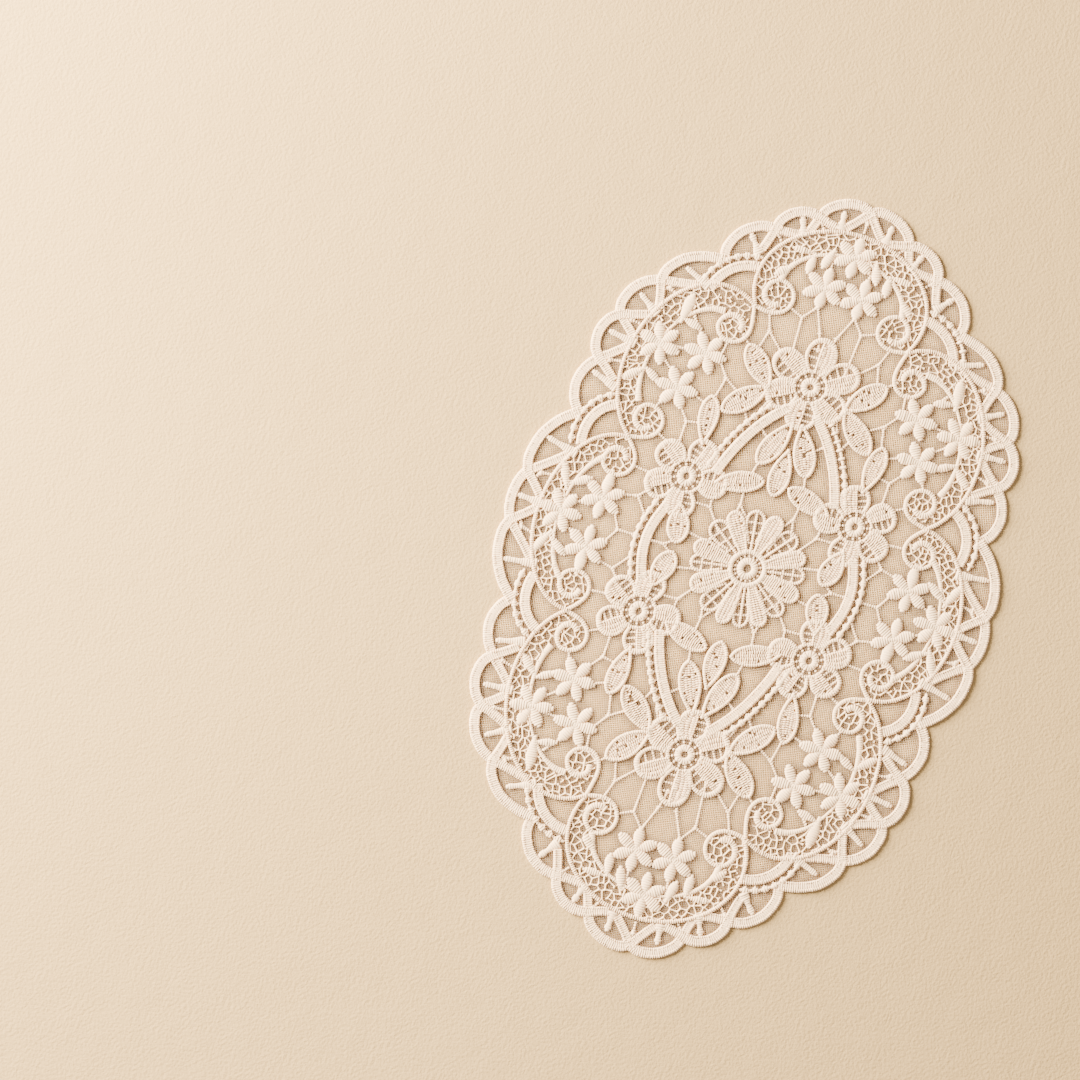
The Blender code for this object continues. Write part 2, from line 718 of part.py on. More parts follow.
# ------------------------------------------------------------------ relief and mesh
def relief_points(parts, loops):
    """Points along the middle of the motifs, each with its height above the table."""
    shaped = [part for part in parts if part.crown is not FLAT]
    kept, heights = [], []
    for part in sorted(shaped, key=lambda part: -part.crown):
        apart = CROWN_APART if part.crown > LEVEL else LEVEL_APART
        for point, _ in evenly(part.path, CROWN_SPACING):
            if not kept or np.hypot(*(np.array(kept) - point).T).min() > apart:
                kept.append(point)
                heights.append(BASE_HEIGHT + part.crown)
    clearance = np.min([distance_to_loop(kept, loop) for loop in loops], axis=0)
    return [(x, y, z) for (x, y), z, clear in zip(kept, heights, clearance)
            if clear > CROWN_CLEARANCE]


def edge_heights(points):
    """The height of each point of the outlines, higher where it is on a medallion's cord."""
    near = np.full(len(points), np.inf)
    for part in all_of(quarter_cords, upright_cords, sideways_cords):
        near = np.minimum(near, distance_to_loop(points, part.path + part.path[-2:0:-1]))
    return np.where(near < CORD / 2 + GAP_DETAIL, BASE_HEIGHT + CORD_RISE, BASE_HEIGHT)


def filled(loops, extra):
    """The triangles between the outline and the gaps, through the extra points as well."""
    points = [p for loop in loops for p in loop]
    rings = []
    start = 0
    for loop in loops:
        rings.append(list(range(start, start + len(loop))))
        start += len(loop)
    everything = [Vector(p) for p in points] + [Vector(p[:2]) for p in extra]
    vertices, _, faces, _, _, sources = delaunay_2d_cdt(everything, [], rings, 0, MERGE)
    if len(vertices) != len(everything):
        raise ValueError(f"{len(vertices)} points from {len(everything)}: the outlines meet")
    return [face for face, source in zip(faces, sources) if source == [0]]


def doily_mesh(name):
    """The cloth as one closed body: raised top, flat underside, and walls around each gap."""
    parts = all_of(quarter, upright, sideways) + mirrored(daisy(), 1, 1)
    outline, gaps = outline_and_gaps(parts)
    loops = [plain_outline(outline, EDGE_DETAIL)] + [plain_outline(gap, GAP_DETAIL) for gap in gaps]
    if area_of(loops[0]) < 0:
        loops[0].reverse()
    loops[1:] = [loop[::-1] if area_of(loop) < 0 else loop for loop in loops[1:]]
    raised = relief_points(parts, loops)
    edge = [p for loop in loops for p in loop]
    low, high = np.array(loops[0]).min(0), np.array(loops[0]).max(0)
    middle = (low + high) / 2
    bm = bmesh.new()

    def vertex(x, y, z):
        return bm.verts.new(((x - middle[0]) * MM, (y - middle[1]) * MM, z * MM))
    under = [vertex(x, y, 0.0) for x, y in edge]
    over = [vertex(x, y, z) for (x, y), z in zip(edge, edge_heights(edge))]
    over += [vertex(x, y, z) for x, y, z in raised]
    for face in filled(loops, raised):
        bm.faces.new([over[k] for k in face])
    for face in filled(loops, []):
        bm.faces.new([under[k] for k in reversed(face)])
    start = 0
    for loop in loops:
        for k in range(len(loop)):
            a, b = start + k, start + (k + 1) % len(loop)
            bm.faces.new([under[a], under[b], over[b], over[a]])
        start += len(loop)
    bmesh.ops.recalc_face_normals(bm, faces=bm.faces)
    mesh = bpy.data.meshes.new(name)
    bm.to_mesh(mesh)
    bm.free()
    print(len(gaps), "gaps,", len(edge), "points on edges,", len(raised), "in the relief")
    return mesh


def linen():
    """Unbleached cotton thread, matt and warm white."""
    material = bpy.data.materials.new("ivory_cotton")
    material.use_nodes = True
    shader = material.node_tree.nodes["Principled BSDF"]
    shader.inputs["Base Color"].default_value = (0.86, 0.79, 0.69, 1.0)
    shader.inputs["Roughness"].default_value = 0.85
    shader.inputs["Metallic"].default_value = 0.0
    return material


def main():
    for old in list(bpy.data.objects):
        bpy.data.objects.remove(old)
    collection = bpy.data.collections.new("lace_doily")
    bpy.context.scene.collection.children.link(collection)
    doily = bpy.data.objects.new("lace_doily", doily_mesh("lace_doily"))
    doily.data.materials.append(linen())
    collection.objects.link(doily)


if __name__ == "__main__":
    main()
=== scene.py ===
"""Dresses the lace doily: every band, petal, leaf and bar is sewn stitch by stitch.

The pattern is laid out in millimetres, one quarter of it at a time, with the daisy at its
origin. A strand is a centre line with a half width at each point. Geometry Nodes lay a
stitch across each strand at every step of its length, and a thread along each line of the
crackle net. A fine tulle lies under all of it.
"""
import math
import random
from collections import namedtuple

import bmesh
import bpy
import numpy as np
from bpy.types import NodeSocket, Operator, Panel, PropertyGroup
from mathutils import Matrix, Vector
from mathutils.geometry import delaunay_2d_cdt


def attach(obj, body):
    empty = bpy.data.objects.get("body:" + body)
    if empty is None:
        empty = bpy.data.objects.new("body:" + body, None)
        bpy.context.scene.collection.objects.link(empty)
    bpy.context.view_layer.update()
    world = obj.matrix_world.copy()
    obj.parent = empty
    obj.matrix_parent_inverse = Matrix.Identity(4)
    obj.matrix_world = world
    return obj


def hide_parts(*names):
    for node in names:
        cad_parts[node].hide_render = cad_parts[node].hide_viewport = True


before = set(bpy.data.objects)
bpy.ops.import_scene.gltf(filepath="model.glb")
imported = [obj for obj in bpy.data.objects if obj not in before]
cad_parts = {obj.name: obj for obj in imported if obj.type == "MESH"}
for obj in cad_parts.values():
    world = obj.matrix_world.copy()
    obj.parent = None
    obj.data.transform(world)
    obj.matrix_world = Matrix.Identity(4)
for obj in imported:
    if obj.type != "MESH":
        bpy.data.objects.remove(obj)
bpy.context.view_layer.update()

bl_info = {
    "name": "Lace doily",
    "version": (1, 0, 0),
    "blender": (4, 5, 0),
    "location": "3D View > Sidebar > Lace doily",
    "description": "Sews an oval lace doily over its plain solid",
    "category": "Mesh",
}

NODE = "lace_doily"
BODY = "root"
MM = 0.001

# The oval and how unevenly it lies.
HALF_LENGTH = 203.5
CENTRE_RISE = 6.5        # how far above the middle of the cloth the daisy sits
FOOT_SWAY = 7.0          # how far the lower end leans to the right
PULL = (0.5, -1.1)       # to the right, for each 100 mm across and for each across and along
LIFT = (5.1, -1.95, -1.55, 0.42)     # upward, by across, its cube, across and along, along^2

# Heights above the table, and how far each kind of work rises above its foot.
TULLE_HEIGHT = 0.58      # of the lower threads' middle
FOOT = 0.50
UPPER_FOOT = 0.66        # for a tape that crosses over another
EDGE_FOOT = 0.32         # for the tapes of the edge
TAPE_RISE = 1.15
BAND_RISE = 1.06         # for the woven middle of a tape
RIM_RISE = 1.30
PETAL_RISE = 1.35
FRAME_RISE = 1.25
CORD_RISE = 1.00
DARN_RISE = 1.18
WEB_RISE = 1.00
BEAD_RISE = 1.25
BAR_RISE = 0.72
NET_HEIGHT = 0.95

# Widths.
BAND = 5.2               # the woven tape of the edge and of the inner oval
ARM = 4.5                # the same tape where it runs in from the edge
ARM_SHORT = 2.7          # how far short of the next bud's foot it ends
ARM_TUCK = 1.8           # and how far it then goes on under the medallion's cord
ARM_BOW = 0.3
ARM_SHARES = (0.35, 0.7, 1.0)        # where along an arm its points lie
CROSSING_DEPTH = 3.4     # how far inside a cusp the two tapes cross
ARCH = ((0.2, 0.64), (0.5, 1.0), (0.8, 0.64))      # shares of a scallop's length and height
WEB_BAR = 2.8            # the three bars under a cusp, where they meet in a knot
WEB_KNOT = 1.7           # the radius of that knot
WEB_DEPTH = 0.42         # where the knot is on the way from between the feet to the crossing
WEB_SILL = 1.2           # how far beyond the feet the middle bar ends
WEB_REACH = 0.62         # where the others end on the way from a foot to the crossing
OUTER_CORD = 2.0         # the cords along a tape's two sides
INNER_CORD = 1.2
ARC_STEPS = 8            # along the tape over a join
BLADE_STEPS = 14         # along a leaf or petal
PLUMP_STEPS = 10         # along a floret's petal or a drop
OVERLAP = 1.2            # how much wider a darned column is than its share of a leaf or petal
FRAME_CORD = 2.1         # the cord around each medallion
FRAME_STEPS = 24
STEM = 3.6               # the stem along a crescent of net, at its ends
STEM_REACH = 0.74        # how far around the medallion it goes
CURL_SWEEP = 430.0       # degrees from its start to its end
CURL_STEPS = 40
CURL_TIGHTENS = 0.55     # the share of its length after which it tightens
CURL_DEPTH = 4.4         # and how much nearer its middle it ends
FLORET_LEAST = 1.35      # the least half width of a floret's petal
DROP_NARROW = 0.28       # a drop's width at its base, as a share of its full width
DROP_LEAST = 0.18        # and the least half width, likewise
LEAF_RIM = 1.8
PETAL_RIM = 2.0
SOLID_RIM = 1.4
LATTICE_RIM = 1.7
RUNG = 1.15              # the bars across a petal
PETAL_SPLIT = 0.08       # how far past its middle line a garland petal is darned
PETAL_CORD = 1.4         # the cord along that side of the darned part
PETAL_RUNGS = (0.16, 0.40, 0.64)     # where the bars stand, as shares of a petal's length
LATTICE_RUNGS = (0.22, 0.46, 0.71)
EYE_RING = 3.4           # the satin ring around a flower's eye
OUTER_RING = (8.6, 8.6, 1.9)         # half lengths and width of the cord around it
DAISY_EYE = (3.7, 4.0, 3.5)          # and of the daisy's two rings
DAISY_RING = (8.8, 8.8, 2.6)
POST_END = 7.9           # from a flower's middle to where its posts end
DAISY_POST = 0.95        # the width of the daisy's posts
BAR = 1.25
KNOT = 1.1               # the radius of the knot where bars meet
BEAD = 3.3
BEAD_PITCH = 4.9
BEAD_LINE = 5.4          # from the middle of a tape to its row of beads
BEAD_CORD = 1.2          # the cord that the beads sit on
BEAD_STALK = (0.0, 1.5, 3.2)         # how far its points are from that cord, towards the tape
NET_CELL = 3.5           # of the crackle net
NET_THREAD = 0.80
NET_UNEVEN = (0.75, 1.3)             # the least and the greatest share of that width
NET_SHAPE = (1.35, 0.9, 0.9, 1.35)   # the shares of it at a thread's four points
NET_ACROSS = 0.34        # where across a stitch a net thread takes its colour, and so how much painted groove shade it gets
NET_TWIST = 150.0        # how many stitches a metre of it counts as
NET_SPURS = 0.12         # the share of threads that end early
SPUR_REACH = (0.3, 0.55)             # and how much of its length such a thread keeps
LEAST_REACH = 0.1        # of a thread that is cut off at the frame
NET_SIDES = 5
NET_MARGIN = 12          # around a medallion, where points are scattered as well
TULLE_SIDES = 3
TULLE_STEP = 5.3         # between the points of a tulle thread
TULLE_ANGLES = (26.0, 116.0)
CROWD_CELL = 0.5         # of the grid that tells where the work is close
CROWD_REACH = 2.2        # how far around a cell it counts

Strand = namedtuple("Strand", "path halves rise foot")
Scallop = namedtuple("Scallop", "start_x start_y sagitta foot_x foot_y tip_x tip_y")
Medallion = namedtuple("Medallion", "tip_a tip_b depth shoulder lean crescent")
Curl = namedtuple("Curl", "centre_a centre_b radius")
Leaf = namedtuple("Leaf", "base tip width fullest")
Drop = namedtuple("Drop", "base_x base_y tip_x tip_y width")
Join = namedtuple("Join", "centre radius_a angle_a radius_b angle_b")
Knot = namedtuple("Knot", "place ends")
Link = namedtuple("Link", "start_x start_y end_x end_y")
Petal = namedtuple("Petal", "root reach width narrow fullest swelling")
Stitch = namedtuple("Stitch", "stations pitch spread slant unevenness missing droop")

# Kinds of stitch. The pitch and the spread are shares of the settings' own pitch, and the slant
# is in degrees. The last two are the share of stitches that are missing and how far the ends
# of a stitch drop.
STITCHES = {
    "tape": Stitch(4, 0.96, 1.66, 0.0, 0.04, 0.0, 0.25),
    "edging": Stitch(4, 0.94, 1.12, 4.0, 0.10, 0.0, 0.40),
    "satin": Stitch(5, 0.98, 1.78, 0.0, 0.06, 0.0, 0.60),
    "cord": Stitch(4, 1.00, 1.26, 20.0, 0.09, 0.0, 0.62),
    "rim": Stitch(5, 1.00, 1.62, 0.0, 0.08, 0.0, 0.42),
    "bar": Stitch(4, 1.00, 1.20, 25.0, 0.12, 0.0, 0.60),
    "darn": Stitch(4, 0.98, 1.14, 0.0, 0.10, 0.015, 0.34),
    "weave": Stitch(4, 0.96, 1.02, 0.0, 0.12, 0.065, 0.30),
}
STITCH_PROFILE = ((-1.0, 0.0), (-0.42, 1.0), (0.42, 1.0), (1.0, 0.0))
STITCH_TAPER = 0.30      # how much narrower a stitch is at its ends

# The scalloped edge, from the top of the oval to its side. Each scallop starts at a cusp,
# and its foot and tip are those of the bud that stands in it.
SCALLOPS = [
    Scallop(0.0, 201.0, 5.2, 12.5, 187.5, 13.0, 194.0),
    Scallop(26.5, 190.0, 4.8, 30.5, 178.0, 33.0, 184.5),
    Scallop(46.5, 176.5, 7.0, 50.5, 161.5, 55.5, 167.5),
    Scallop(67.5, 151.0, 6.3, 71.5, 135.5, 80.5, 139.0),
    Scallop(94.6, 130.0, 5.3, 91.0, 113.5, 98.5, 118.0),
    Scallop(108.8, 105.0, 5.3, 97.5, 93.5, 107.0, 94.5),
    Scallop(111.2, 79.0, 5.8, 99.0, 69.5, 108.0, 72.0),
    Scallop(111.8, 50.0, 6.2, 107.5, 30.5, 118.5, 32.5),
    Scallop(126.0, 12.5, 2.6, 114.0, 0.0, 122.5, 0.0),
]
LAST = len(SCALLOPS) - 1
JOIN_CUSPS = (3, 7)      # the cusps that stand over a join of two medallions
PIN_BUDS = (0, 1, 2)
BUD_PIN = ((-0.45, 0.0, 0.2, 0.38, 0.52, 0.70, 0.88), [2.8, 1.9, 1.3, 1.15, 1.6, 1.8, 1.1])
BUD_FINGER = ((-0.45, 0.0, 0.25, 0.6, 0.85, 0.98), [2.7, 2.1, 1.45, 1.3, 1.5, 1.0])
WEBBED_CUSPS = (1, 2, 4, 5, 6, 8)

MEDALLIONS = {
    "end": Medallion((-41.0, 132.0), (41.0, 132.0), 52.0, 15.7, 0.0, 12.5),
    "shoulder": Medallion((41.5, 132.0), (80.0, 47.0), 35.3, 0.0, -0.22, 12.0),
    "side": Medallion((80.0, 46.5), (80.0, -46.5), 31.3, 0.0, 0.0, 11.0),
}
CURLS = {
    "end": Curl((-32.0, 140.0), (32.0, 140.0), 8.8),
    "shoulder": Curl((47.8, 118.0), (73.8, 57.5), 8.2),
    "side": Curl((80.8, 34.2), (80.8, -34.2), 8.2),
}
FLORETS = {              # centre and the angle of a petal
    "end": [(-10.0, 151.5, 30), (10.0, 151.5, 30), (0.0, 172.0, 30)],
    "shoulder": [(57.0, 100.0, 0), (65.0, 78.5, 0), (81.0, 97.5, 10)],
    "side": [(81.7, 13.2, 30), (81.7, -13.2, 30), (100.0, 0.0, 0)],
}
DROPS = {                # beside the stems, on one half of each medallion but the shoulders
    "end": [
        Drop(20.3, 167.5, 21.0, 157.0, 5.0),
        Drop(11.5, 172.5, 14.5, 162.0, 5.2),
        Drop(21.5, 167.7, 32.0, 167.3, 3.6),
        Drop(30.0, 157.0, 36.5, 151.0, 5.0),
    ],
    "shoulder": [
        Drop(74.5, 111.5, 72.8, 127.0, 6.0),
        Drop(73.0, 113.5, 63.5, 111.5, 4.2),
        Drop(84.0, 82.5, 93.0, 74.5, 4.8),
        Drop(84.0, 83.5, 75.0, 78.5, 4.2),
    ],
    "side": [
        Drop(100.8, 11.5, 106.8, 24.5, 4.8),
        Drop(100.5, 14.0, 90.5, 20.5, 4.6),
        Drop(81.5, 27.5, 81.2, 18.0, 5.8),
    ],
}

FLORET_PETAL = Petal(0.6, 10.5, 5.8, 2.0, 0.66, 1.0)
TOP_PETAL = Petal(8.4, 24.0, 16.8, 9.6, 0.44, 1.0)
SIDE_PETAL = Petal(8.4, 21.4, 16.2, 11.4, 0.42, 1.0)
SOLID_PETAL = Petal(8.6, 30.2, 9.4, 4.6, 0.76, 1.6)
LATTICE_PETAL = Petal(8.6, 29.8, 10.6, 3.2, 0.74, 1.5)

JOINS = [
    Join((41.5, 132.0), 20.0, 79.0, 24.5, 4.0),
    Join((80.0, 46.8), 17.5, 50.0, 24.5, -28.0),
]
TOP_FLOWER = (0.0, 99.5)
TOP_EYE = (1.7, 1.7)
TOP_PETALS = [(90, 26.6), (33, 25.8), (-30, 22.8), (-90, 23.0), (-150, 23.0), (150, 25.2)]
SIDE_FLOWER = (45.0, 36.5)
SIDE_EYE = (1.5, 2.0)
SIDE_PETALS = [(108, 21.4), (36, 21.4), (-32, 21.4), (-95, 21.4), (179, 21.4)]
DAISY = (0.0, 0.0)
DAISY_ANGLES = [8, 28, 52, 77, 99, 122, 143, 171, 189, 214, 240, 262, 281, 301, 322, 345]
DAISY_LEAN = 109         # the direction in which the daisy is the longest
DAISY_STRETCH = 0.025
LEAVES = [
    Leaf((20.5, 93.5), (37.5, 111.5), 12.5, 0.56),
    Leaf((21.0, 92.5), (39.5, 74.5), 12.5, 0.55),
    Leaf((2.5, 79.0), (13.0, 53.5), 12.0, 0.60),
    Leaf((43.0, 55.0), (46.0, 80.5), 11.0, 0.60),
    Leaf((30.0, 38.0), (6.5, 45.5), 11.5, 0.55),
    Leaf((43.5, 22.5), (38.5, 2.5), 12.0, 0.60),
]
INNER_LEAF = Leaf((0.0, 64.5), (0.0, 39.5), 11.5, 0.60)
OVAL_TAPE = ((8.0, 85.2), (24.0, 70.0), (31.8, 43.2))
SIDE_TAPE = [(49.7, 19.6), (53.0, 9.0), (54.0, 0.0), (53.0, -9.0), (49.7, -19.6)]

# The bars of one quarter: those that meet in a knot, and those that link two motifs.
KNOTS = [
    Knot((4.5, 128.0), [(10.0, 141.0), (2.5, 119.0)]),
    Knot((16.0, 133.5), [(10.0, 141.0), (24.5, 137.0), (14.5, 109.0)]),
    Knot((29.5, 121.5), [(33.0, 131.5), (33.0, 108.0), (17.0, 109.5)]),
    Knot((42.5, 91.0), [(49.0, 99.5), (45.0, 79.0), (34.5, 86.0)]),
    Knot((54.5, 63.5), [(60.5, 71.0), (54.5, 52.0), (46.5, 65.0)]),
    Knot((65.0, 19.5), [(74.0, 17.5), (58.5, 11.0), (57.5, 28.5)]),
    Knot((69.0, 0.0), [(74.0, 8.5), (59.0, 0.0)]),
    Knot((14.0, 30.5), [(15.0, 39.0), (8.5, 24.0), (16.5, 20.0)]),
    Knot((28.5, 25.0), [(29.0, 32.0), (20.5, 14.5), (38.0, 25.0)]),
    Knot((44.5, 0.0), [(40.0, 3.5), (52.0, 0.0)]),
]
LINKS = [
    Link(35.5, 109.5, 41.5, 115.5),
    Link(20.5, 100.0, 22.5, 98.0),
    Link(17.0, 89.0, 20.5, 81.0),
    Link(28.5, 78.5, 25.5, 73.5),
    Link(10.0, 66.0, 17.0, 71.5),
    Link(12.5, 55.0, 14.5, 44.0),
    Link(36.5, 9.8, 24.0, 7.6),
    Link(47.5, 75.0, 57.0, 78.5),
    Link(59.0, 50.0, 66.5, 53.5),
    Link(62.0, 32.5, 73.0, 33.5),
    Link(10.0, 160.0, 10.8, 172.0),
    Link(48.0, 111.0, 49.0, 101.0),
    Link(61.0, 107.5, 68.5, 116.5),
    Link(66.5, 99.0, 74.0, 98.5),
    Link(70.0, 86.0, 76.0, 90.5),
    Link(70.0, 70.5, 72.0, 65.5),
    Link(81.5, 22.5, 81.0, 27.0),
    Link(90.0, 8.5, 96.0, 5.5),
]

# The view: where the daisy's middle stands in a picture of 1080 by 1080 pixels, and how far
# the long axis leans to the right of upright.
PICTURE = 1080
DAISY_PIXEL = (747.5, 568.7)
MM_PER_PIXEL = 0.513
LEAN = 19.2
LENS = 85.0
SENSOR = 36.0
LIGHT_FROM = (-0.87, 0.49)           # the window's direction in the view, to the right and up


# ------------------------------------------------------------------ plane geometry
def add(a, b, k=1.0):
    return (a[0] + k * b[0], a[1] + k * b[1])


def sub(a, b):
    return (a[0] - b[0], a[1] - b[1])


def inner(a, b):
    return a[0] * b[0] + a[1] * b[1]


def left(a):
    return (-a[1], a[0])


def unit(a):
    length = math.hypot(*a)
    return (a[0] / length, a[1] / length)


def lerp(a, b, t):
    return (a[0] + (b[0] - a[0]) * t, a[1] + (b[1] - a[1]) * t)


def polar(centre, radius, degrees):
    angle = math.radians(degrees)
    return (centre[0] + radius * math.cos(angle), centre[1] + radius * math.sin(angle))


def smooth(points, steps):
    """A Catmull-Rom curve through the points."""
    first = add(points[0], sub(points[0], points[1]))
    last = add(points[-1], sub(points[-1], points[-2]))
    padded = [first] + list(points) + [last]
    curve = []
    for a, b, c, d in zip(padded, padded[1:], padded[2:], padded[3:]):
        for k in range(steps):
            t = k / steps
            weights = (-t + 2 * t**2 - t**3, 2 - 5 * t**2 + 3 * t**3,
                       t + 4 * t**2 - 3 * t**3, t**3 - t**2)
            curve.append(tuple(0.5 * sum(w * p[axis] for w, p in zip(weights, (a, b, c, d)))
                               for axis in (0, 1)))
    return curve + [points[-1]]


def bezier(a, b, c, steps):
    return [lerp(lerp(a, b, i / steps), lerp(b, c, i / steps), i / steps)
            for i in range(steps + 1)]


def box_around(points, margin=0.0):
    """The lowest and the highest corner."""
    return ([min(p[k] for p in points) - margin for k in (0, 1)],
            [max(p[k] for p in points) + margin for k in (0, 1)])


def normals(path):
    """The direction to the left of the path at each of its points."""
    last = len(path) - 1
    return [left(unit(sub(path[min(i + 1, last)], path[max(i - 1, 0)])))
            for i in range(last + 1)]


def beside(path, distances):
    """The line beside a path, to its left where the distance at a point is positive."""
    return [add(p, n, distance) for p, n, distance in zip(path, normals(path), distances)]


def evenly(path, spacing):
    """Points along a path at an even spacing, each with the direction there."""
    lengths = [0.0]
    for a, b in zip(path, path[1:]):
        lengths.append(lengths[-1] + math.dist(a, b))
    count = max(1, round(lengths[-1] / spacing))
    result = []
    for k in range(count):
        goal = (k + 0.5) / count * lengths[-1]
        j = max(i for i in range(len(path) - 1) if lengths[i] <= goal)
        share = (goal - lengths[j]) / (lengths[j + 1] - lengths[j])
        result.append((lerp(path[j], path[j + 1], share), unit(sub(path[j + 1], path[j]))))
    return result


# ------------------------------------------------------------------ strands
def strand(path, width, rise, taper=None, foot=FOOT):
    """A strand along a path, of one width or of one that the taper scales."""
    last = len(path) - 1
    halves = [width / 2 * (taper(i / last) if taper else 1.0) for i in range(last + 1)]
    return Strand(path, halves, rise, foot)


def bar(a, b, width=BAR, rise=BAR_RISE):
    """A bar between two motifs, a little wider where it is fastened."""
    path = [lerp(a, b, i / 4) for i in range(5)]
    return strand(path, width, rise, taper=lambda t: 1.0 + 0.5 * abs(2 * t - 1) ** 3)


def dot(centre, radius, rise, steps):
    """A round knot of satin stitches."""
    angles = [math.pi * (0.08 + 0.84 * i / steps) for i in range(steps + 1)]
    path = [(centre[0] - radius * math.cos(angle), centre[1]) for angle in angles]
    return Strand(path, [radius * math.sin(angle) for angle in angles], rise, FOOT)


def eased(steps):
    """Shares of a length, closer together at both of its ends."""
    return [(1 - math.cos(math.pi * i / steps)) / 2 for i in range(steps + 1)]


def blade(leaf):
    """The middle line of a leaf and its half widths."""
    power = math.log(0.5) / math.log(leaf.fullest)
    shares = eased(BLADE_STEPS)
    return ([lerp(leaf.base, leaf.tip, t) for t in shares],
            [leaf.width / 2 * max(0.0, math.sin(math.pi * t ** power)) ** 0.5 for t in shares])


def spoon(base, tip, shape, steps):
    """The middle line of a round-ended petal and its half widths."""
    halves = []
    for t in eased(steps):
        if t < shape.fullest:
            swell = math.sin(math.pi / 2 * t / shape.fullest) ** shape.swelling
            halves.append(shape.narrow / 2 + (shape.width - shape.narrow) / 2 * swell)
        else:
            past = (t - shape.fullest) / (1 - shape.fullest)
            halves.append(shape.width / 2 * math.sqrt(max(0.0, 1 - past ** 2.4)))
    return [lerp(base, tip, t) for t in eased(steps)], halves


def petal(centre, angle, shape, steps=BLADE_STEPS):
    """The middle line and half widths of a petal that points away from a flower's centre."""
    return spoon(polar(centre, shape.root, angle), polar(centre, shape.reach, angle), shape,
                 steps)


def rim(path, halves, width, rise, at_tip=1.0, first=0):
    """The rim around a blade, from its base round the tip, where it is wider, and back."""
    back = unit(sub(path[0], path[-1]))
    last = len(path) - 1
    sides = []
    for side in (1, -1):
        line = beside(path, [side * max(0.0, half - width / 2) for half in halves])
        drawn_in = [(width * at_tip / 2 - 0.6) * (i / last) ** 5 for i in range(last + 1)]
        line = [add(place, back, max(0.0, far)) for place, far in zip(line, drawn_in)]
        sides.append(line[first:])
    return strand(sides[0] + sides[1][-2::-1], width, rise,
                  taper=lambda t: 1.0 + (at_tip - 1.0) * max(0.0, 1.0 - abs(2 * t - 1) * 2.2))


def columns(path, halves, inset, low, high, count):
    """Columns of stitches across a blade between two shares of its width, from -1 to 1."""
    room = [max(0.0, half - inset) for half in halves]
    share = (high - low) / count
    kept = [i for i, h in enumerate(room) if h * share > 0.5]
    parts = []
    for k in range(count):
        middle = low + share * (k + 0.5)
        line = beside(path, [h * middle for h in room])
        line = [line[i] for i in kept]
        if k % 2:
            line[0] = add(line[0], unit(sub(line[1], line[0])), 0.5)
        parts.append(Strand(line, [room[i] * share / 2 * OVERLAP for i in kept], DARN_RISE, FOOT))
    return parts


# ------------------------------------------------------------------ scalloped edge
def cusp(i):
    """The cusp where scallop i starts, past either axis a mirrored one."""
    row = SCALLOPS[abs(i) if i <= LAST else 2 * LAST + 1 - i]
    return (-row.start_x if i < 0 else row.start_x, -row.start_y if i > LAST else row.start_y)


def bud_line(i):
    """The foot and the tip of the bud in scallop i, past either axis of a mirrored one."""
    row = SCALLOPS[-1 - i if i < 0 else min(i, 2 * LAST - i)]
    x, y = (-1 if i < 0 else 1), (-1 if i > LAST else 1)
    return (row.foot_x * x, row.foot_y * y), (row.tip_x * x, row.tip_y * y)


def foot_of(i):
    return bud_line(i)[0]


def arm_end(i, here):
    """Where the arm that comes from a bud's foot ends beside the foot of the bud of scallop i."""
    foot, tip = bud_line(i)
    short = add(foot, unit(sub(here, foot)), ARM_SHORT)
    return add(short, unit(sub(foot, tip)), ARM_TUCK)


def crossing(i):
    """Where the tapes of the two scallops that meet at cusp i cross."""
    inward = unit(sub(lerp(foot_of(i - 1), foot_of(i), 0.5), cusp(i)))
    return add(cusp(i), inward, CROSSING_DEPTH)


def over_join(i):
    return i in JOIN_CUSPS or 2 * LAST + 1 - i in JOIN_CUSPS


def arch(i):
    """The middle line of scallop i's tape, from one crossing to the next."""
    a, b = cusp(i), cusp(i + 1)
    outward = left(unit(sub(b, a)))
    middle = [add(lerp(a, b, share), outward, SCALLOPS[i].sagitta * height - BAND / 2)
              for share, height in ARCH]
    return smooth([crossing(i), *middle, crossing(i + 1)], 3)


def arm(start, end, side):
    """The bowed arm of a tape, from the crossing to the foot of the next bud."""
    outward = left(unit(sub(end, start)))
    return [add(lerp(start, end, t), outward, side * ARM_BOW * math.sin(math.pi * t))
            for t in ARM_SHARES]


def scallop_tape(i):
    """The middle line and half widths of scallop i's tape, with its arms."""
    path = arch(i)
    halves = [BAND / 2] * len(path)
    here = foot_of(i)
    arm_halves = [ARM / 2] * len(ARM_SHARES)
    if not over_join(i):
        path = arm(path[0], arm_end(i - 1, here), 1)[::-1] + path
        halves = arm_halves + halves
    if not over_join(i + 1):
        path = path + arm(path[-1], arm_end(i + 1, here), -1)
        halves = halves + arm_halves
    return path, halves


def side_cords(path, halves, foot=FOOT):
    """The wide cord along the outer side of a tape and the narrow one along its inner side."""
    return [strand(beside(path, [side * (half - width / 2) for half in halves]), width,
                   FRAME_RISE, foot=foot)
            for side, width in ((1, OUTER_CORD), (-1, INNER_CORD))]


def edge_foot(i):
    return FOOT if i % 2 else EDGE_FOOT


def bud(i):
    """The bud that stands in scallop i: a pin with a round knob at the ends of the oval."""
    base, tip = bud_line(i)
    shares, halves = BUD_PIN if i in PIN_BUDS else BUD_FINGER
    return Strand([lerp(base, tip, share) for share in shares], halves, TAPE_RISE, UPPER_FOOT)


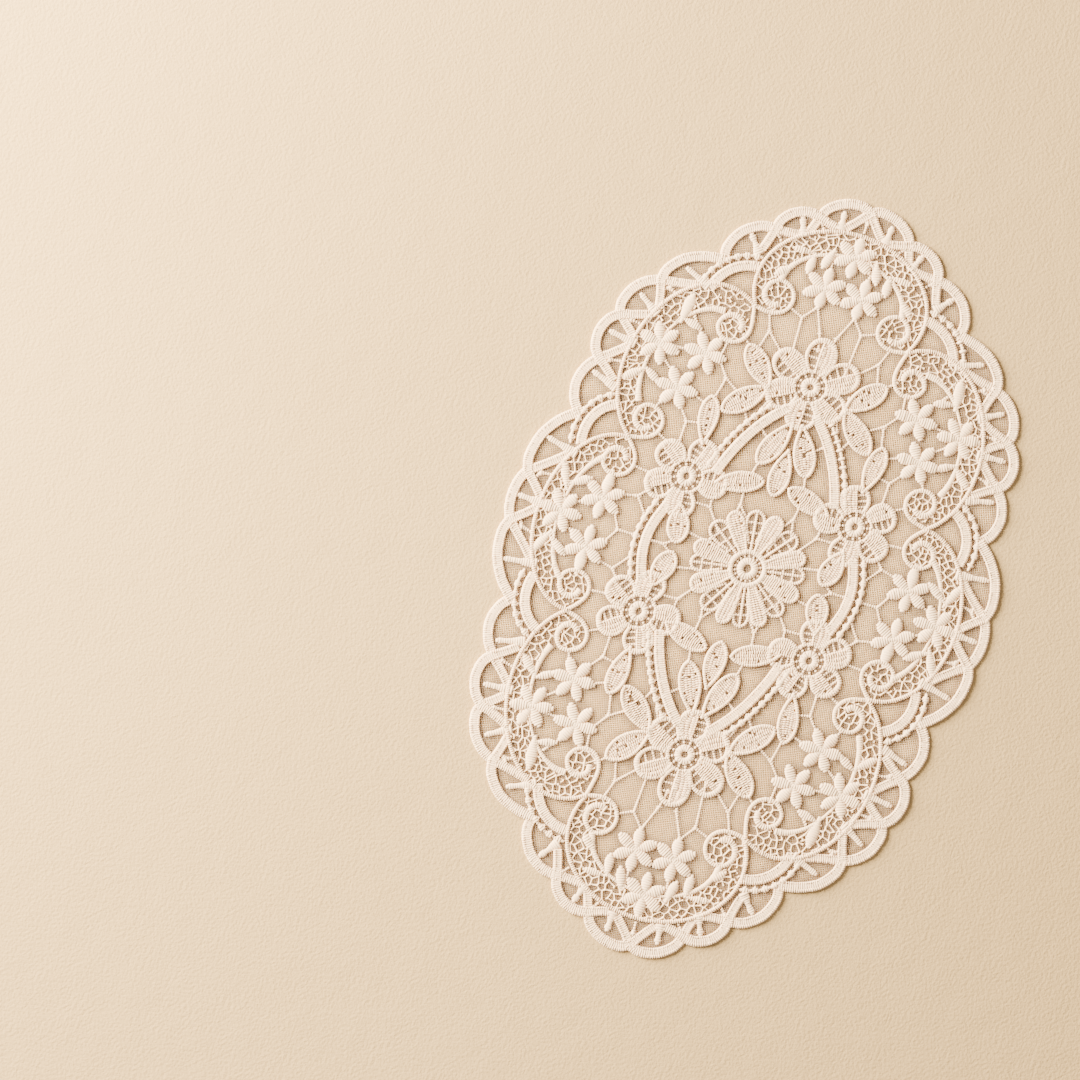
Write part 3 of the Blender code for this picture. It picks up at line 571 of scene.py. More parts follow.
def web(i):
    """Three bars that meet in a knot between the tapes under cusp i."""
    top = crossing(i)
    feet = foot_of(i - 1), foot_of(i)
    middle = lerp(*feet, 0.5)
    knot = lerp(middle, top, WEB_DEPTH)
    ends = [add(middle, unit(sub(middle, top)), WEB_SILL)]
    ends += [lerp(foot, top, WEB_REACH) for foot in feet]
    bars = [strand([lerp(knot, end, k / 4) for k in range(5)], WEB_BAR, WEB_RISE,
                   taper=lambda t: 0.5 + 0.5 * max(0.0, 1.0 - 2.4 * t)) for end in ends]
    return bars + [dot(knot, WEB_KNOT, WEB_RISE, 4)]


# ------------------------------------------------------------------ medallions
def frame_point(name, t, inset=0.0):
    """A point of a medallion's frame, t running from -1 at tip a to 1 at tip b."""
    m = MEDALLIONS[name]
    along = unit(sub(m.tip_b, m.tip_a))
    rise = m.depth - m.shoulder
    start = math.asin(m.shoulder / rise)
    reach = math.dist(m.tip_a, m.tip_b) / 2 / math.cos(start)
    angle = t * (math.pi / 2 + start)
    height = (rise - inset) * math.cos(angle)
    side = (reach - inset) * math.sin(angle) + m.lean * height
    middle = lerp(m.tip_a, m.tip_b, 0.5)
    return add(add(middle, along, side), left(along), height + m.shoulder)


def frame_line(name, limit=1.0, inset=0.0, steps=FRAME_STEPS):
    return [frame_point(name, limit * (2 * i / steps - 1), inset) for i in range(steps + 1)]


def curl(name, at_b):
    """The spiral that the frame runs into at one of its tips, wider towards its end."""
    row = CURLS[name]
    centre = row.centre_b if at_b else row.centre_a
    tip = MEDALLIONS[name].tip_b if at_b else MEDALLIONS[name].tip_a
    turn = -1 if at_b else 1
    away = sub(tip, centre)
    start = math.degrees(math.atan2(away[1], away[0]))
    path, halves = [], []
    for i in range(CURL_STEPS + 1):
        share = i / CURL_STEPS
        radius = row.radius + (math.hypot(*away) - row.radius) * math.exp(-share * 19)
        coiled = max(0.0, (share - CURL_TIGHTENS) / (1 - CURL_TIGHTENS))
        path.append(polar(centre, radius - CURL_DEPTH * coiled ** 0.8,
                          start + turn * share * CURL_SWEEP))
        halves.append(FRAME_CORD / 2 + 0.5 * min(1.0, 2 * coiled))
    return Strand(path, halves, FRAME_RISE, FOOT)


def stem(name):
    """The satin stem along the inner side of the net, thin in its middle."""
    path = frame_line(name, STEM_REACH, MEDALLIONS[name].crescent, 20)
    return strand(path, STEM, TAPE_RISE, taper=lambda t: 1.0 - 0.6 * math.sin(math.pi * t))


def floret(x, y, turn):
    """A small flower of six plump petals."""
    parts = []
    for k in range(6):
        path, halves = petal((x, y), turn + 60 * k, FLORET_PETAL, PLUMP_STEPS)
        parts.append(Strand(path, [max(FLORET_LEAST, half) for half in halves], PETAL_RISE,
                            UPPER_FOOT if k in (0, 3) else FOOT))
    return parts


def drop(row):
    """A plump drop of one column of satin stitches."""
    shape = Petal(0, 0, row.width, DROP_NARROW * row.width, 0.6, 1.2)
    path, halves = spoon((row.base_x, row.base_y), (row.tip_x, row.tip_y), shape, PLUMP_STEPS)
    halves = [max(DROP_LEAST * row.width, half) for half in halves]
    return Strand(path, halves, PETAL_RISE, FOOT)


def frame_cord(name):
    """The cord around a medallion."""
    return strand(frame_line(name, steps=30), FRAME_CORD, FRAME_RISE, foot=UPPER_FOOT)


# ------------------------------------------------------------------ crackle net
def in_medallion(name, point):
    """Whether a point is in the part of a medallion that the crackle net fills."""
    row = CURLS[name]
    if min(math.dist(point, row.centre_a), math.dist(point, row.centre_b)) < row.radius:
        return True
    stem_side = frame_line(name, inset=MEDALLIONS[name].crescent)
    return inside(point, frame_line(name) + stem_side[::-1])


def inside(point, loop):
    x, y = point
    crossings = 0
    for (ax, ay), (bx, by) in zip(loop, loop[1:] + loop[:1]):
        if (ay > y) != (by > y) and x < ax + (y - ay) * (bx - ax) / (by - ay):
            crossings += 1
    return crossings % 2 == 1


def circumcentre(a, b, c):
    d = 2 * (a[0] * (b[1] - c[1]) + b[0] * (c[1] - a[1]) + c[0] * (a[1] - b[1]))
    sa, sb, sc = (p[0] ** 2 + p[1] ** 2 for p in (a, b, c))
    return ((sa * (b[1] - c[1]) + sb * (c[1] - a[1]) + sc * (a[1] - b[1])) / d,
            (sa * (c[0] - b[0]) + sb * (a[0] - c[0]) + sc * (b[0] - a[0])) / d)


def scattered(name, dice):
    """Points scattered over a medallion and a margin around it."""
    low, high = box_around(frame_line(name) + [CURLS[name].centre_a, CURLS[name].centre_b],
                           NET_MARGIN)
    points = []
    for j in range(int((high[1] - low[1]) / NET_CELL)):
        for i in range(int((high[0] - low[0]) / NET_CELL)):
            x = low[0] + (i + 0.5 * (j % 2) + dice.uniform(-0.5, 0.5)) * NET_CELL
            y = low[1] + (j + dice.uniform(-0.5, 0.5)) * NET_CELL
            points.append(Vector((x, y)))
    return points


def crackle(name, seed):
    """The threads of a medallion's net: the borders between scattered points."""
    dice = random.Random(seed)
    points, _, faces, _, _, _ = delaunay_2d_cdt(scattered(name, dice), [], [], 0, 0.0001)
    middles = [circumcentre(*(points[k] for k in face)) for face in faces]
    owner = {(face[k], face[(k + 1) % 3]): index
             for index, face in enumerate(faces) for k in range(3)}
    held = [in_medallion(name, p) for p in middles]
    threads = []
    for (a, b), index in owner.items():
        other = owner.get((b, a))
        if other is None or index > other or not (held[index] or held[other]):
            continue
        start, end = middles[index], middles[other]
        if not held[index]:
            start, end = end, start
        reach = dice.uniform(*SPUR_REACH) if dice.random() < NET_SPURS else 1.0
        if not (held[index] and held[other]):
            if math.dist(start, end) > 1.2 * NET_CELL:
                continue
            while reach > LEAST_REACH and not in_medallion(name, lerp(start, end, reach)):
                reach -= 0.15
        half = NET_THREAD / 2 * dice.uniform(*NET_UNEVEN)
        end = lerp(start, end, max(LEAST_REACH, reach))
        path = [start, lerp(start, end, 0.3), lerp(start, end, 0.7), end]
        halves = [half * share for share in NET_SHAPE]
        threads.append(Strand(path, halves, 0.0, NET_HEIGHT))
    return threads


# ------------------------------------------------------------------ tapes and beads
def join_arc(join):
    """The arc of tape that bridges two medallions."""
    return [polar(join.centre,
                  join.radius_a + (join.radius_b - join.radius_a) * i / ARC_STEPS,
                  join.angle_a + (join.angle_b - join.angle_a) * i / ARC_STEPS)
            for i in range(ARC_STEPS + 1)]


def pad(centre, along, radius):
    """A bead, which is a round pad of satin stitches."""
    path = [add(centre, along, radius * share) for share in (-1.1, -0.7, 0.0, 0.7, 1.1)]
    halves = [radius * share for share in (0.5, 0.85, 1.0, 0.85, 0.5)]
    return Strand(path, halves, BEAD_RISE, UPPER_FOOT)


def beads(path):
    """A row of beads to the left of a tape: the cords that hold them, and their pads."""
    line = beside(path, [BEAD_LINE] * len(path))
    cords, pads = [strand(line, BEAD_CORD, CORD_RISE)], []
    for place, along in evenly(line, BEAD_PITCH):
        stalk = [add(place, left(along), -far) for far in BEAD_STALK]
        cords.append(strand(stalk, 1.1, CORD_RISE))
        pads.append(pad(place, along, BEAD / 2))
    return cords, pads


# ------------------------------------------------------------------ flowers and leaves
def leaf_parts(leaf):
    """A leaf's rim and its darned columns."""
    path, halves = blade(leaf)
    return {"rim": [rim(path, halves, LEAF_RIM, RIM_RISE)],
            "weave": columns(path, halves, LEAF_RIM * 0.7, -1.0, 1.0, 5)}


def rung(path, halves, share, low, high, inset):
    """A bar across a petal at a share of the way to its tip, between two shares of its width."""
    spot = lerp(path[0], path[-1], share)
    k = min(range(len(path)), key=lambda i: math.dist(path[i], spot))
    across = normals(path)[k]
    half = halves[k] - inset
    return bar(add(spot, across, half * low), add(spot, across, half * high), RUNG)


def flower_petal(centre, angle, shape, open_side):
    """A garland petal: a rim, one part darned, and the rest open behind three rungs."""
    path, halves = petal(centre, angle, shape)
    split = PETAL_SPLIT * open_side
    middle = beside(path, [split * half for half in halves])
    cords = [strand(middle[:-2], PETAL_CORD, RIM_RISE)]
    cords += [rung(path, halves, share, split, open_side, PETAL_RIM / 2)
              for share in PETAL_RUNGS]
    low, high = sorted((-open_side, split))
    return {"rim": [rim(path, halves, PETAL_RIM, RIM_RISE, 1.6)], "cord": cords,
            "darn": columns(path, halves, PETAL_RIM * 0.7, low, high, 3)}


def oval_ring(centre, wide, high, width, rise):
    """A closed ring whose middle line has these half lengths across and along."""
    angles = [math.radians(15 * k) for k in range(25)]
    path = [(centre[0] + wide * math.cos(a), centre[1] + high * math.sin(a)) for a in angles]
    return strand(path, width, rise)


def posts(centre, start, count, turn, width=BAR, rise=CORD_RISE):
    """Short bars that stand around a flower's middle."""
    angles = [360 // count * k + turn for k in range(count)]
    return [bar(polar(centre, start, angle), polar(centre, POST_END, angle), width, rise)
            for angle in angles]


def garland_flower(centre, petals, shape, open_side, eye):
    """A ring of satin around an eye, twelve posts, and round petals."""
    wide, high = (half + EYE_RING / 2 for half in eye)
    outer = oval_ring(centre, *OUTER_RING, CORD_RISE)
    work = {"satin": [oval_ring(centre, wide, high, EYE_RING, TAPE_RISE)],
            "cord": [outer] + posts(centre, 4.6, 12, 10), "rim": [], "darn": []}
    for angle, reach in petals:
        sewn = flower_petal(centre, angle, shape._replace(reach=reach), open_side)
        for kind, parts in sewn.items():
            work[kind] += parts
    return work


def lattice_petal(path, halves):
    """A petal of three rungs across a middle bar, its rim starting between its neighbours."""
    cords = [rim(path, halves, LATTICE_RIM, CORD_RISE, 1.15, first=5)]
    line = [lerp(path[0], path[-1], share) for share in (-0.02, 0.3, 0.6, 0.96)]
    cords.append(strand(line, 1.5, CORD_RISE))
    cords += [rung(path, halves, share, -1.0, 1.0, -0.6) for share in LATTICE_RUNGS]
    return cords


def daisy():
    """The middle flower: solid petals between lattice ones, round a ring with an eye."""
    work = {"satin": [oval_ring(DAISY, *ring, TAPE_RISE) for ring in (DAISY_EYE, DAISY_RING)],
            "cord": posts(DAISY, 5.0, 18, 0, DAISY_POST, BAR_RISE), "rim": [], "darn": []}
    count = len(DAISY_ANGLES)
    for k, angle in enumerate(DAISY_ANGLES):
        room = (DAISY_ANGLES[(k + 1) % count] - DAISY_ANGLES[k - 1]) % 360 / 45
        shape = SOLID_PETAL if k % 2 else LATTICE_PETAL
        longer = 1.0 + DAISY_STRETCH * math.cos(math.radians(2 * (angle - DAISY_LEAN)))
        path, halves = petal(DAISY, angle, shape._replace(width=shape.width * room,
                                                          reach=shape.reach * longer))
        if k % 2:
            work["rim"].append(rim(path, halves, SOLID_RIM, RIM_RISE, 1.5))
            work["darn"] += columns(path, halves, SOLID_RIM * 0.5, -1.0, 1.0, 4)
        else:
            work["cord"] += lattice_petal(path, halves)
    return work


# ------------------------------------------------------------------ the whole cloth
def laid(point):
    """Where a point of the regular pattern lies on the hand-made cloth."""
    x, y = point
    across, along = x / 100, y / 100
    rise = CENTRE_RISE * (1 - (y / HALF_LENGTH) ** 2)
    sway = FOOT_SWAY * (max(0.0, -y - 40.0) / (HALF_LENGTH - 40.0)) ** 2
    pull = across * (PULL[0] + PULL[1] * along)
    lift = across * (LIFT[0] + LIFT[1] * across ** 2 + LIFT[2] * along) + LIFT[3] * along ** 2
    return (x + sway + pull, y + rise + lift)


QUARTERS = [(x, y) for x in (1, -1) for y in (1, -1)]
ON_LONG_AXIS = [(1, 1), (1, -1)]
ON_SHORT_AXIS = [(1, 1), (-1, 1)]
WHOLE = [(1, 1)]
MEDALLION_PLACES = {"end": ON_LONG_AXIS, "shoulder": QUARTERS, "side": ON_SHORT_AXIS}


def spread(places, parts):
    """The parts, mirrored to each of the places and laid on the cloth."""
    return [part._replace(path=[laid((x * sign_x, y * sign_y)) for x, y in part.path])
            for sign_x, sign_y in places for part in parts]


def gathered(*works):
    """One dictionary of strands from several, each with the places that it is mirrored to."""
    whole = {}
    for places, work in works:
        for kind, parts in work.items():
            whole.setdefault(kind, []).extend(spread(places, parts))
    return whole


def edge_part(indices, cusps):
    """The tapes and buds of these scallops, and the webs under these cusps."""
    tapes = [(*scallop_tape(i), edge_foot(i)) for i in indices]
    return {"tape": [Strand(path, halves, BAND_RISE, foot) for path, halves, foot in tapes],
            "satin": [bud(i) for i in indices],
            "edging": [cord for tape in tapes for cord in side_cords(*tape)],
            "cord": [part for i in cusps for part in web(i)]}


def edge_work():
    return gathered((QUARTERS, edge_part(range(LAST), WEBBED_CUSPS)),
                    (ON_SHORT_AXIS, edge_part([LAST], ())),
                    (ON_LONG_AXIS, {"cord": web(0)}))


def medallion_work():
    works = []
    for name, places in MEDALLION_PLACES.items():
        curls = [curl(name, at_b) for at_b in (False, True)]
        works.append((places, {"satin": [stem(name)], "edging": [frame_cord(name)],
                               "rim": curls}))
        works.append((QUARTERS, {"satin": [drop(row) for row in DROPS[name]]}))
    return gathered(*works)


def floret_work():
    return gathered(*[(places, {"satin": [p for row in FLORETS[name] for p in floret(*row)]})
                      for name, places in MEDALLION_PLACES.items()])


def net_work():
    threads = []
    for name, places in MEDALLION_PLACES.items():
        for k, place in enumerate(places):
            threads += spread([place], crackle(name, 11 * k + len(name)))
    return threads


def tape_work():
    arcs = [join_arc(join) for join in JOINS]
    oval, side = bezier(*OVAL_TAPE, 10), smooth(SIDE_TAPE, 3)
    works = [(QUARTERS, {"tape": [strand(path, BAND, BAND_RISE) for path in arcs + [oval]]}),
             (ON_SHORT_AXIS, {"tape": [strand(side, BAND, BAND_RISE)]})]
    rows = [(QUARTERS, arc, arc) for arc in arcs]
    rows += [(QUARTERS, oval, oval[1:]), (ON_SHORT_AXIS, side, side)]
    for places, path, beaded in rows:
        cords, pads = beads(beaded)
        works.append((places, {"edging": side_cords(path, [BAND / 2] * len(path)),
                               "cord": cords, "satin": pads}))
    return gathered(*works)


def flower_work():
    top = garland_flower(TOP_FLOWER, TOP_PETALS, TOP_PETAL, 1, TOP_EYE)
    side = garland_flower(SIDE_FLOWER, SIDE_PETALS, SIDE_PETAL, -1, SIDE_EYE)
    return gathered((ON_LONG_AXIS, top), (QUARTERS, side))


def leaf_work():
    return gathered(*[(QUARTERS, leaf_parts(leaf)) for leaf in LEAVES],
                    (ON_LONG_AXIS, leaf_parts(INNER_LEAF)))


def bar_work():
    parts = [bar(knot.place, end) for knot in KNOTS for end in knot.ends]
    parts += [dot(knot.place, KNOT, BAR_RISE, 3) for knot in KNOTS]
    parts += [bar((row.start_x, row.start_y), (row.end_x, row.end_y)) for row in LINKS]
    return gathered((QUARTERS, {"bar": parts}))


def daisy_work():
    return gathered((WHOLE, daisy()))


WORKS = [edge_work, medallion_work, floret_work, tape_work, flower_work, leaf_work, daisy_work,
         bar_work]


def edge_arches():
    """The middle lines of the edge's arches, as strands."""
    arches = [strand(arch(i), BAND, 0.0) for i in range(LAST + 1)]
    return spread(QUARTERS, arches[:-1]) + spread(ON_SHORT_AXIS, arches[-1:])


def middle_of_cloth():
    """The middle of the cloth's box in the pattern's own millimetres."""
    outer = [p for part in edge_arches() for side in (1, -1)
             for p in beside(part.path, [side * BAND / 2] * len(part.path))]
    return tuple((low + high) / 2 for low, high in zip(*box_around(outer)))


MIDDLE = middle_of_cloth()


# ------------------------------------------------------------------ node helpers
SOCKET_KINDS = {float: "Float", int: "Int", tuple: "Color"}


def wired(tree, made, links):
    """A node whose sockets are linked or given values, by name or number."""
    for key, value in links.items():
        if isinstance(value, NodeSocket):
            tree.links.new(value, made.inputs[key])
        else:
            made.inputs[key].default_value = value
    return made


def node(tree, kind, links=None, **settings):
    """A new node with its settings and its sockets."""
    made = tree.nodes.new(kind)
    for key, value in settings.items():
        setattr(made, key, value)
    return wired(tree, made, links or {})


def maths(tree, operation, *values):
    return node(tree, "ShaderNodeMath", dict(enumerate(values)), operation=operation).outputs[0]


def attribute(tree, name):
    return node(tree, "GeometryNodeInputNamedAttribute", {"Name": name},
                data_type="FLOAT").outputs[0]


def random_value(tree, least, most, seed):
    return node(tree, "FunctionNodeRandomValue", {2: least, 3: most, "Seed": seed},
                data_type="FLOAT").outputs[1]


def new_group(name, tree_kind, inputs, outputs):
    """A node group, and its input and output nodes. An input is a default value or a kind."""
    tree = bpy.data.node_groups.new(name, tree_kind)
    for title, given in inputs.items():
        kind = SOCKET_KINDS.get(type(given), given)
        made = tree.interface.new_socket(title, in_out="INPUT", socket_type=f"NodeSocket{kind}")
        if kind != given:
            made.default_value = given
    for title, kind in outputs.items():
        tree.interface.new_socket(title, in_out="OUTPUT", socket_type=f"NodeSocket{kind}")
    return tree, tree.nodes.new("NodeGroupInput").outputs, tree.nodes.new("NodeGroupOutput")


def end_tree(tree, geometry, material, result):
    """End a tree with real, smooth and dressed geometry."""
    for kind, links in (("GeometryNodeRealizeInstances", {}),
                        ("GeometryNodeSetShadeSmooth", {}),
                        ("GeometryNodeSetMaterial", {"Material": material})):
        geometry = node(tree, kind, {0: geometry, **links}).outputs[0]
    tree.links.new(geometry, result.inputs[0])


# ------------------------------------------------------------------ stitches
def meshed(bm, name):
    """The mesh of what has been built, which is then freed."""
    mesh = bpy.data.meshes.new(name)
    bm.to_mesh(mesh)
    bm.free()
    return mesh


def placed(name, data):
    """A new object in the scene."""
    made = bpy.data.objects.new(name, data)
    bpy.context.scene.collection.objects.link(made)
    return made


def mark(mesh, name, values):
    """Give a mesh one value for each of its points."""
    mesh.attributes.new(name, "FLOAT", "POINT").data.foreach_set("value", values)


def stitch_object(stations, droop):
    """One stitch: it lies along Y from -1 to 1, is as wide along X, and rises to 1."""
    bm = bmesh.new()
    layer = bm.loops.layers.uv.new("thread")
    rings = []
    for i in range(stations):
        v = -math.cos(math.pi * i / (stations - 1))
        height = 1.0 - droop * abs(v) ** 4
        narrow = 1.0 - STITCH_TAPER * v ** 8
        rings.append([bm.verts.new((x * narrow, v, z * height)) for x, z in STITCH_PROFILE])
    for a, b in zip(rings, rings[1:]):
        for k in range(4):
            face = bm.faces.new([a[k], a[(k + 1) % 4], b[(k + 1) % 4], b[k]])
            for loop in face.loops:
                loop[layer].uv = ((loop.vert.co.x + 1) / 2, (loop.vert.co.y + 1) / 2)
    for ring, turned in ((rings[0], 1), (rings[-1], -1)):
        bm.faces.new(ring[::turned])
    bmesh.ops.recalc_face_normals(bm, faces=bm.faces)
    return placed("stitch", meshed(bm, "stitch"))


def guide_object(name, strands):
    """The strands' centre lines as edges, each point with its half width and its rise, which
    is less where the strand is narrow."""
    points, edges, halves, rises = [], [], [], []
    for part in strands:
        start = len(points)
        fullest = max(part.halves)
        for (x, y), half in zip(part.path, part.halves):
            points.append(((x - MIDDLE[0]) * MM, (y - MIDDLE[1]) * MM, part.foot * MM))
            halves.append(half * MM)
            rises.append(part.rise * MM * (0.45 + 0.55 * half / fullest))
        edges += [(k, k + 1) for k in range(start, len(points) - 1)]
    mesh = bpy.data.meshes.new(name)
    mesh.from_pydata(points, edges, [])
    mark(mesh, "half", halves)
    mark(mesh, "rise", rises)
    return placed(name, mesh)


def stitch_tree():
    """Stitches laid across each line of a guide, at an even pitch."""
    tree, given, result = new_group("Satin stitch", "GeometryNodeTree", {
        "Guide": "Geometry",
        "Stitch": "Object",
        "Pitch": 0.001,
        "Thread Width": 0.001,
        "Slant": 0.0,
        "Unevenness": 0.05,
        "Missing": 0.0,
        "Seed": 1,
        "Material": "Material",
    }, {"Geometry": "Geometry"})

    def uneven(seed_step, share):
        least, most = (maths(tree, "MULTIPLY", given["Unevenness"], k) for k in (-share, share))
        return random_value(tree, least, most, maths(tree, "ADD", given["Seed"], seed_step))

    def varied(value, seed_step, share):
        return maths(tree, "MULTIPLY", value, maths(tree, "ADD", 1.0, uneven(seed_step, share)))

    lines = node(tree, "GeometryNodeMeshToCurve", {"Mesh": given["Guide"]})
    even = node(tree, "GeometryNodeResampleCurve",
                {"Curve": lines.outputs[0], "Length": given["Pitch"]}, mode="LENGTH")
    tangent = node(tree, "GeometryNodeInputTangent")
    along = node(tree, "FunctionNodeAxesToRotation",
                 {"Primary Axis": tangent.outputs[0], "Secondary Axis": (0, 0, 1)},
                 primary_axis="X", secondary_axis="Z")
    slant = node(tree, "ShaderNodeCombineXYZ",
                 {"Z": maths(tree, "ADD", given["Slant"], uneven(1, 0.7))})
    turn = node(tree, "FunctionNodeEulerToRotation", {0: slant.outputs[0]})
    rotation = node(tree, "FunctionNodeRotateRotation",
                    {0: along.outputs[0], 1: turn.outputs[0]}, rotation_space="LOCAL")
    scale = node(tree, "ShaderNodeCombineXYZ", {
        "X": varied(maths(tree, "MULTIPLY", given["Thread Width"], 0.5), 2, 1.0),
        "Y": varied(attribute(tree, "half"), 3, 1.0),
        "Z": varied(attribute(tree, "rise"), 4, 1.6),
    })
    stitch = node(tree, "GeometryNodeObjectInfo", {"Object": given["Stitch"]})
    luck = random_value(tree, 0.0, 1.0, given["Seed"])
    stitches = node(tree, "GeometryNodeInstanceOnPoints", {
        "Points": even.outputs[0],
        "Selection": maths(tree, "GREATER_THAN", luck, given["Missing"]),
        "Instance": stitch.outputs["Geometry"],
        "Rotation": rotation.outputs[0],
        "Scale": scale.outputs[0],
    })
    end_tree(tree, stitches.outputs[0], given["Material"], result)
    return tree


def thread_tree():
    """A round thread along each line of a guide."""
    tree, given, result = new_group("Net thread", "GeometryNodeTree", {
        "Guide": "Geometry",
        "Sides": 5,
        "Material": "Material",
    }, {"Geometry": "Geometry"})
    lines = node(tree, "GeometryNodeMeshToCurve", {"Mesh": given["Guide"]})
    place = node(tree, "GeometryNodeSplineParameter")
    turns = node(tree, "ShaderNodeCombineXYZ",
                 {"X": NET_ACROSS,
                  "Y": maths(tree, "MULTIPLY", place.outputs["Length"], NET_TWIST)})
    marked = node(tree, "GeometryNodeStoreNamedAttribute", {
        "Geometry": lines.outputs[0], "Name": "thread", "Value": turns.outputs[0],
    }, data_type="FLOAT_VECTOR", domain="POINT")
    circle = node(tree, "GeometryNodeCurvePrimitiveCircle",
                  {"Resolution": given["Sides"], "Radius": 1.0})
    tube = node(tree, "GeometryNodeCurveToMesh", {
        "Curve": marked.outputs[0],
        "Profile Curve": circle.outputs[0],
        "Scale": attribute(tree, "half"),
        "Fill Caps": True,
    })
    end_tree(tree, tube.outputs[0], given["Material"], result)
    return tree


def grown(guide, tree, values):
    """The plain mesh that a node tree makes of a guide, which is then removed."""
    modifier = guide.modifiers.new("Sewing", "NODES")
    modifier.node_group = tree
    for item in tree.interface.items_tree:
        if item.in_out == "INPUT" and item.name in values:
            modifier[item.identifier] = values[item.name]
    depsgraph = bpy.context.evaluated_depsgraph_get()
    mesh = bpy.data.meshes.new_from_object(guide.evaluated_get(depsgraph), depsgraph=depsgraph)
    guide.modifiers.remove(modifier)
    bpy.data.objects.remove(guide)
    return mesh


def finished(name, meshes, material):
    """One object of these meshes, riding on the frame in place of the plain solid."""
    bm = bmesh.new()
    for mesh in meshes:
        bm.from_mesh(mesh)
        bpy.data.meshes.remove(mesh)
    whole = meshed(bm, name)
    whole.materials.append(material)
    made = placed(name, whole)
    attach(made, BODY)
    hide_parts(NODE)
    print(f"{name}: {sum(len(p.vertices) - 2 for p in whole.polygons)} triangles")
    return made


def sew(name, work):
    """Sew a piece from a dictionary that gives the strands of each kind of stitch."""
    settings = bpy.context.scene.lace_thread
    tree = bpy.data.node_groups.get("Satin stitch") or stitch_tree()
    material = thread_material(settings)
    meshes = []
    for kind, strands in work.items():
        stitch = STITCHES[kind]
        unit_stitch = stitch_object(stitch.stations, stitch.droop)
        meshes.append(grown(guide_object(f"{name}_{kind}", strands), tree, {
            "Stitch": unit_stitch,
            "Pitch": settings.pitch * stitch.pitch,
            "Thread Width": settings.pitch * stitch.spread,
            "Slant": math.radians(stitch.slant),
            "Unevenness": stitch.unevenness * settings.unevenness,
            "Missing": stitch.missing,
            "Seed": settings.seed,
            "Material": material,
        }))
        bpy.data.objects.remove(unit_stitch)
    return finished(name, meshes, material)


def spin(name, guide, sides, material):
    """A piece of round threads along the lines of a guide."""
    tree = bpy.data.node_groups.get("Net thread") or thread_tree()
    mesh = grown(guide, tree, {"Sides": sides, "Material": material})
    return finished(name, [mesh], material)


# ------------------------------------------------------------------ materials
def noise(tree, place, scale, detail):
    return node(tree, "ShaderNodeTexNoise",
                {"Vector": place, "Scale": scale, "Detail": detail}).outputs[0]


def ranged(tree, value, *limits):
    """A value taken from between the first two limits to between the last two."""
    return node(tree, "ShaderNodeMapRange", dict(enumerate((value, *limits)))).outputs[0]


def blended(tree, share, color, other):
    return node(tree, "ShaderNodeMix", {0: share, 6: color, 7: other},
                data_type="RGBA").outputs[2]


def soft_variation():
    """Node group: one colour that drifts towards another over the surface."""
    tree, given, result = new_group("Soft variation", "ShaderNodeTree", {
        "Vector": "Vector",
        "Color": (1, 1, 1, 1),
        "Other": (0.9, 0.85, 0.8, 1),
        "Scale": 20.0,
        "Amount": 0.5,
    }, {"Color": "Color", "Mask": "Float"})
    mask = ranged(tree, noise(tree, given["Vector"], given["Scale"], 4.0), 0.35, 0.65)
    amount = maths(tree, "MULTIPLY", mask, given["Amount"])
    wired(tree, result, {"Color": blended(tree, amount, given["Color"], given["Other"]),
                         "Mask": mask})
    return tree


def new_material(name, color, other, scale, amount):
    """A material, its tree, a place on the piece and there a colour that drifts to another."""
    material = bpy.data.materials.new(name)
    material.use_nodes = True
    tree = material.node_tree
    place = node(tree, "ShaderNodeTexCoord").outputs["Object"]
    drift = node(tree, "ShaderNodeGroup", {
        "Vector": place,
        "Color": (*color, 1.0),
        "Other": (*other, 1.0),
        "Scale": scale,
        "Amount": amount,
    }, node_tree=bpy.data.node_groups.get("Soft variation") or soft_variation())
    return material, tree, place, drift.outputs["Color"]


def surfaced(tree, height, strength, distance, links):
    """Give a material's shader its bump and its other sockets."""
    bump = node(tree, "ShaderNodeBump",
                {"Strength": strength, "Distance": distance, "Height": height})
    wired(tree, tree.nodes["Principled BSDF"], {"Normal": bump.outputs[0], **links})


def thread_material(settings):
    """Matt mercerised cotton, paler on the back of each stitch and browner between stitches,
    where painted shade stands in for the shadow in the grooves.
    """
    known = bpy.data.materials.get("ivory_thread")
    if known:
        return known
    material, tree, place, drift = new_material(
        "ivory_thread", settings.thread_color, settings.shade_color, 45.0, 0.18)
    thread = node(tree, "ShaderNodeAttribute", attribute_name="thread")
    split = node(tree, "ShaderNodeSeparateXYZ", {0: thread.outputs["Vector"]})
    across, along = split.outputs[0], split.outputs[1]
    off_middle = maths(tree, "ABSOLUTE", maths(tree, "SUBTRACT", across, 0.5))
    # Painted shade: each stitch's sides turn towards the groove colour, in place of the shadow
    # between stitches.
    groove_shade_share = ranged(tree, off_middle, 0.14, 0.36, 0.0, settings.groove_shade_depth)
    twist = maths(tree, "ADD", maths(tree, "MULTIPLY", along, 9.0),
                  maths(tree, "MULTIPLY", across, 1.6))
    ply = maths(tree, "SINE", maths(tree, "MULTIPLY", twist, 2 * math.pi))
    fibre = noise(tree, place, 2600.0, 3.0)
    height = maths(tree, "ADD", maths(tree, "MULTIPLY", ply, 0.35), fibre)
    surfaced(tree, height, 0.35, 0.0001, {
        "Base Color": blended(tree, groove_shade_share, drift, (*settings.groove_shade_color, 1.0)),
        "Roughness": ranged(tree, fibre, 0.0, 1.0, 0.72, 0.92),
        "Sheen Weight": 0.25,
        "Sheen Roughness": 0.5,
        "Specular IOR Level": 0.3,
    })
    return material


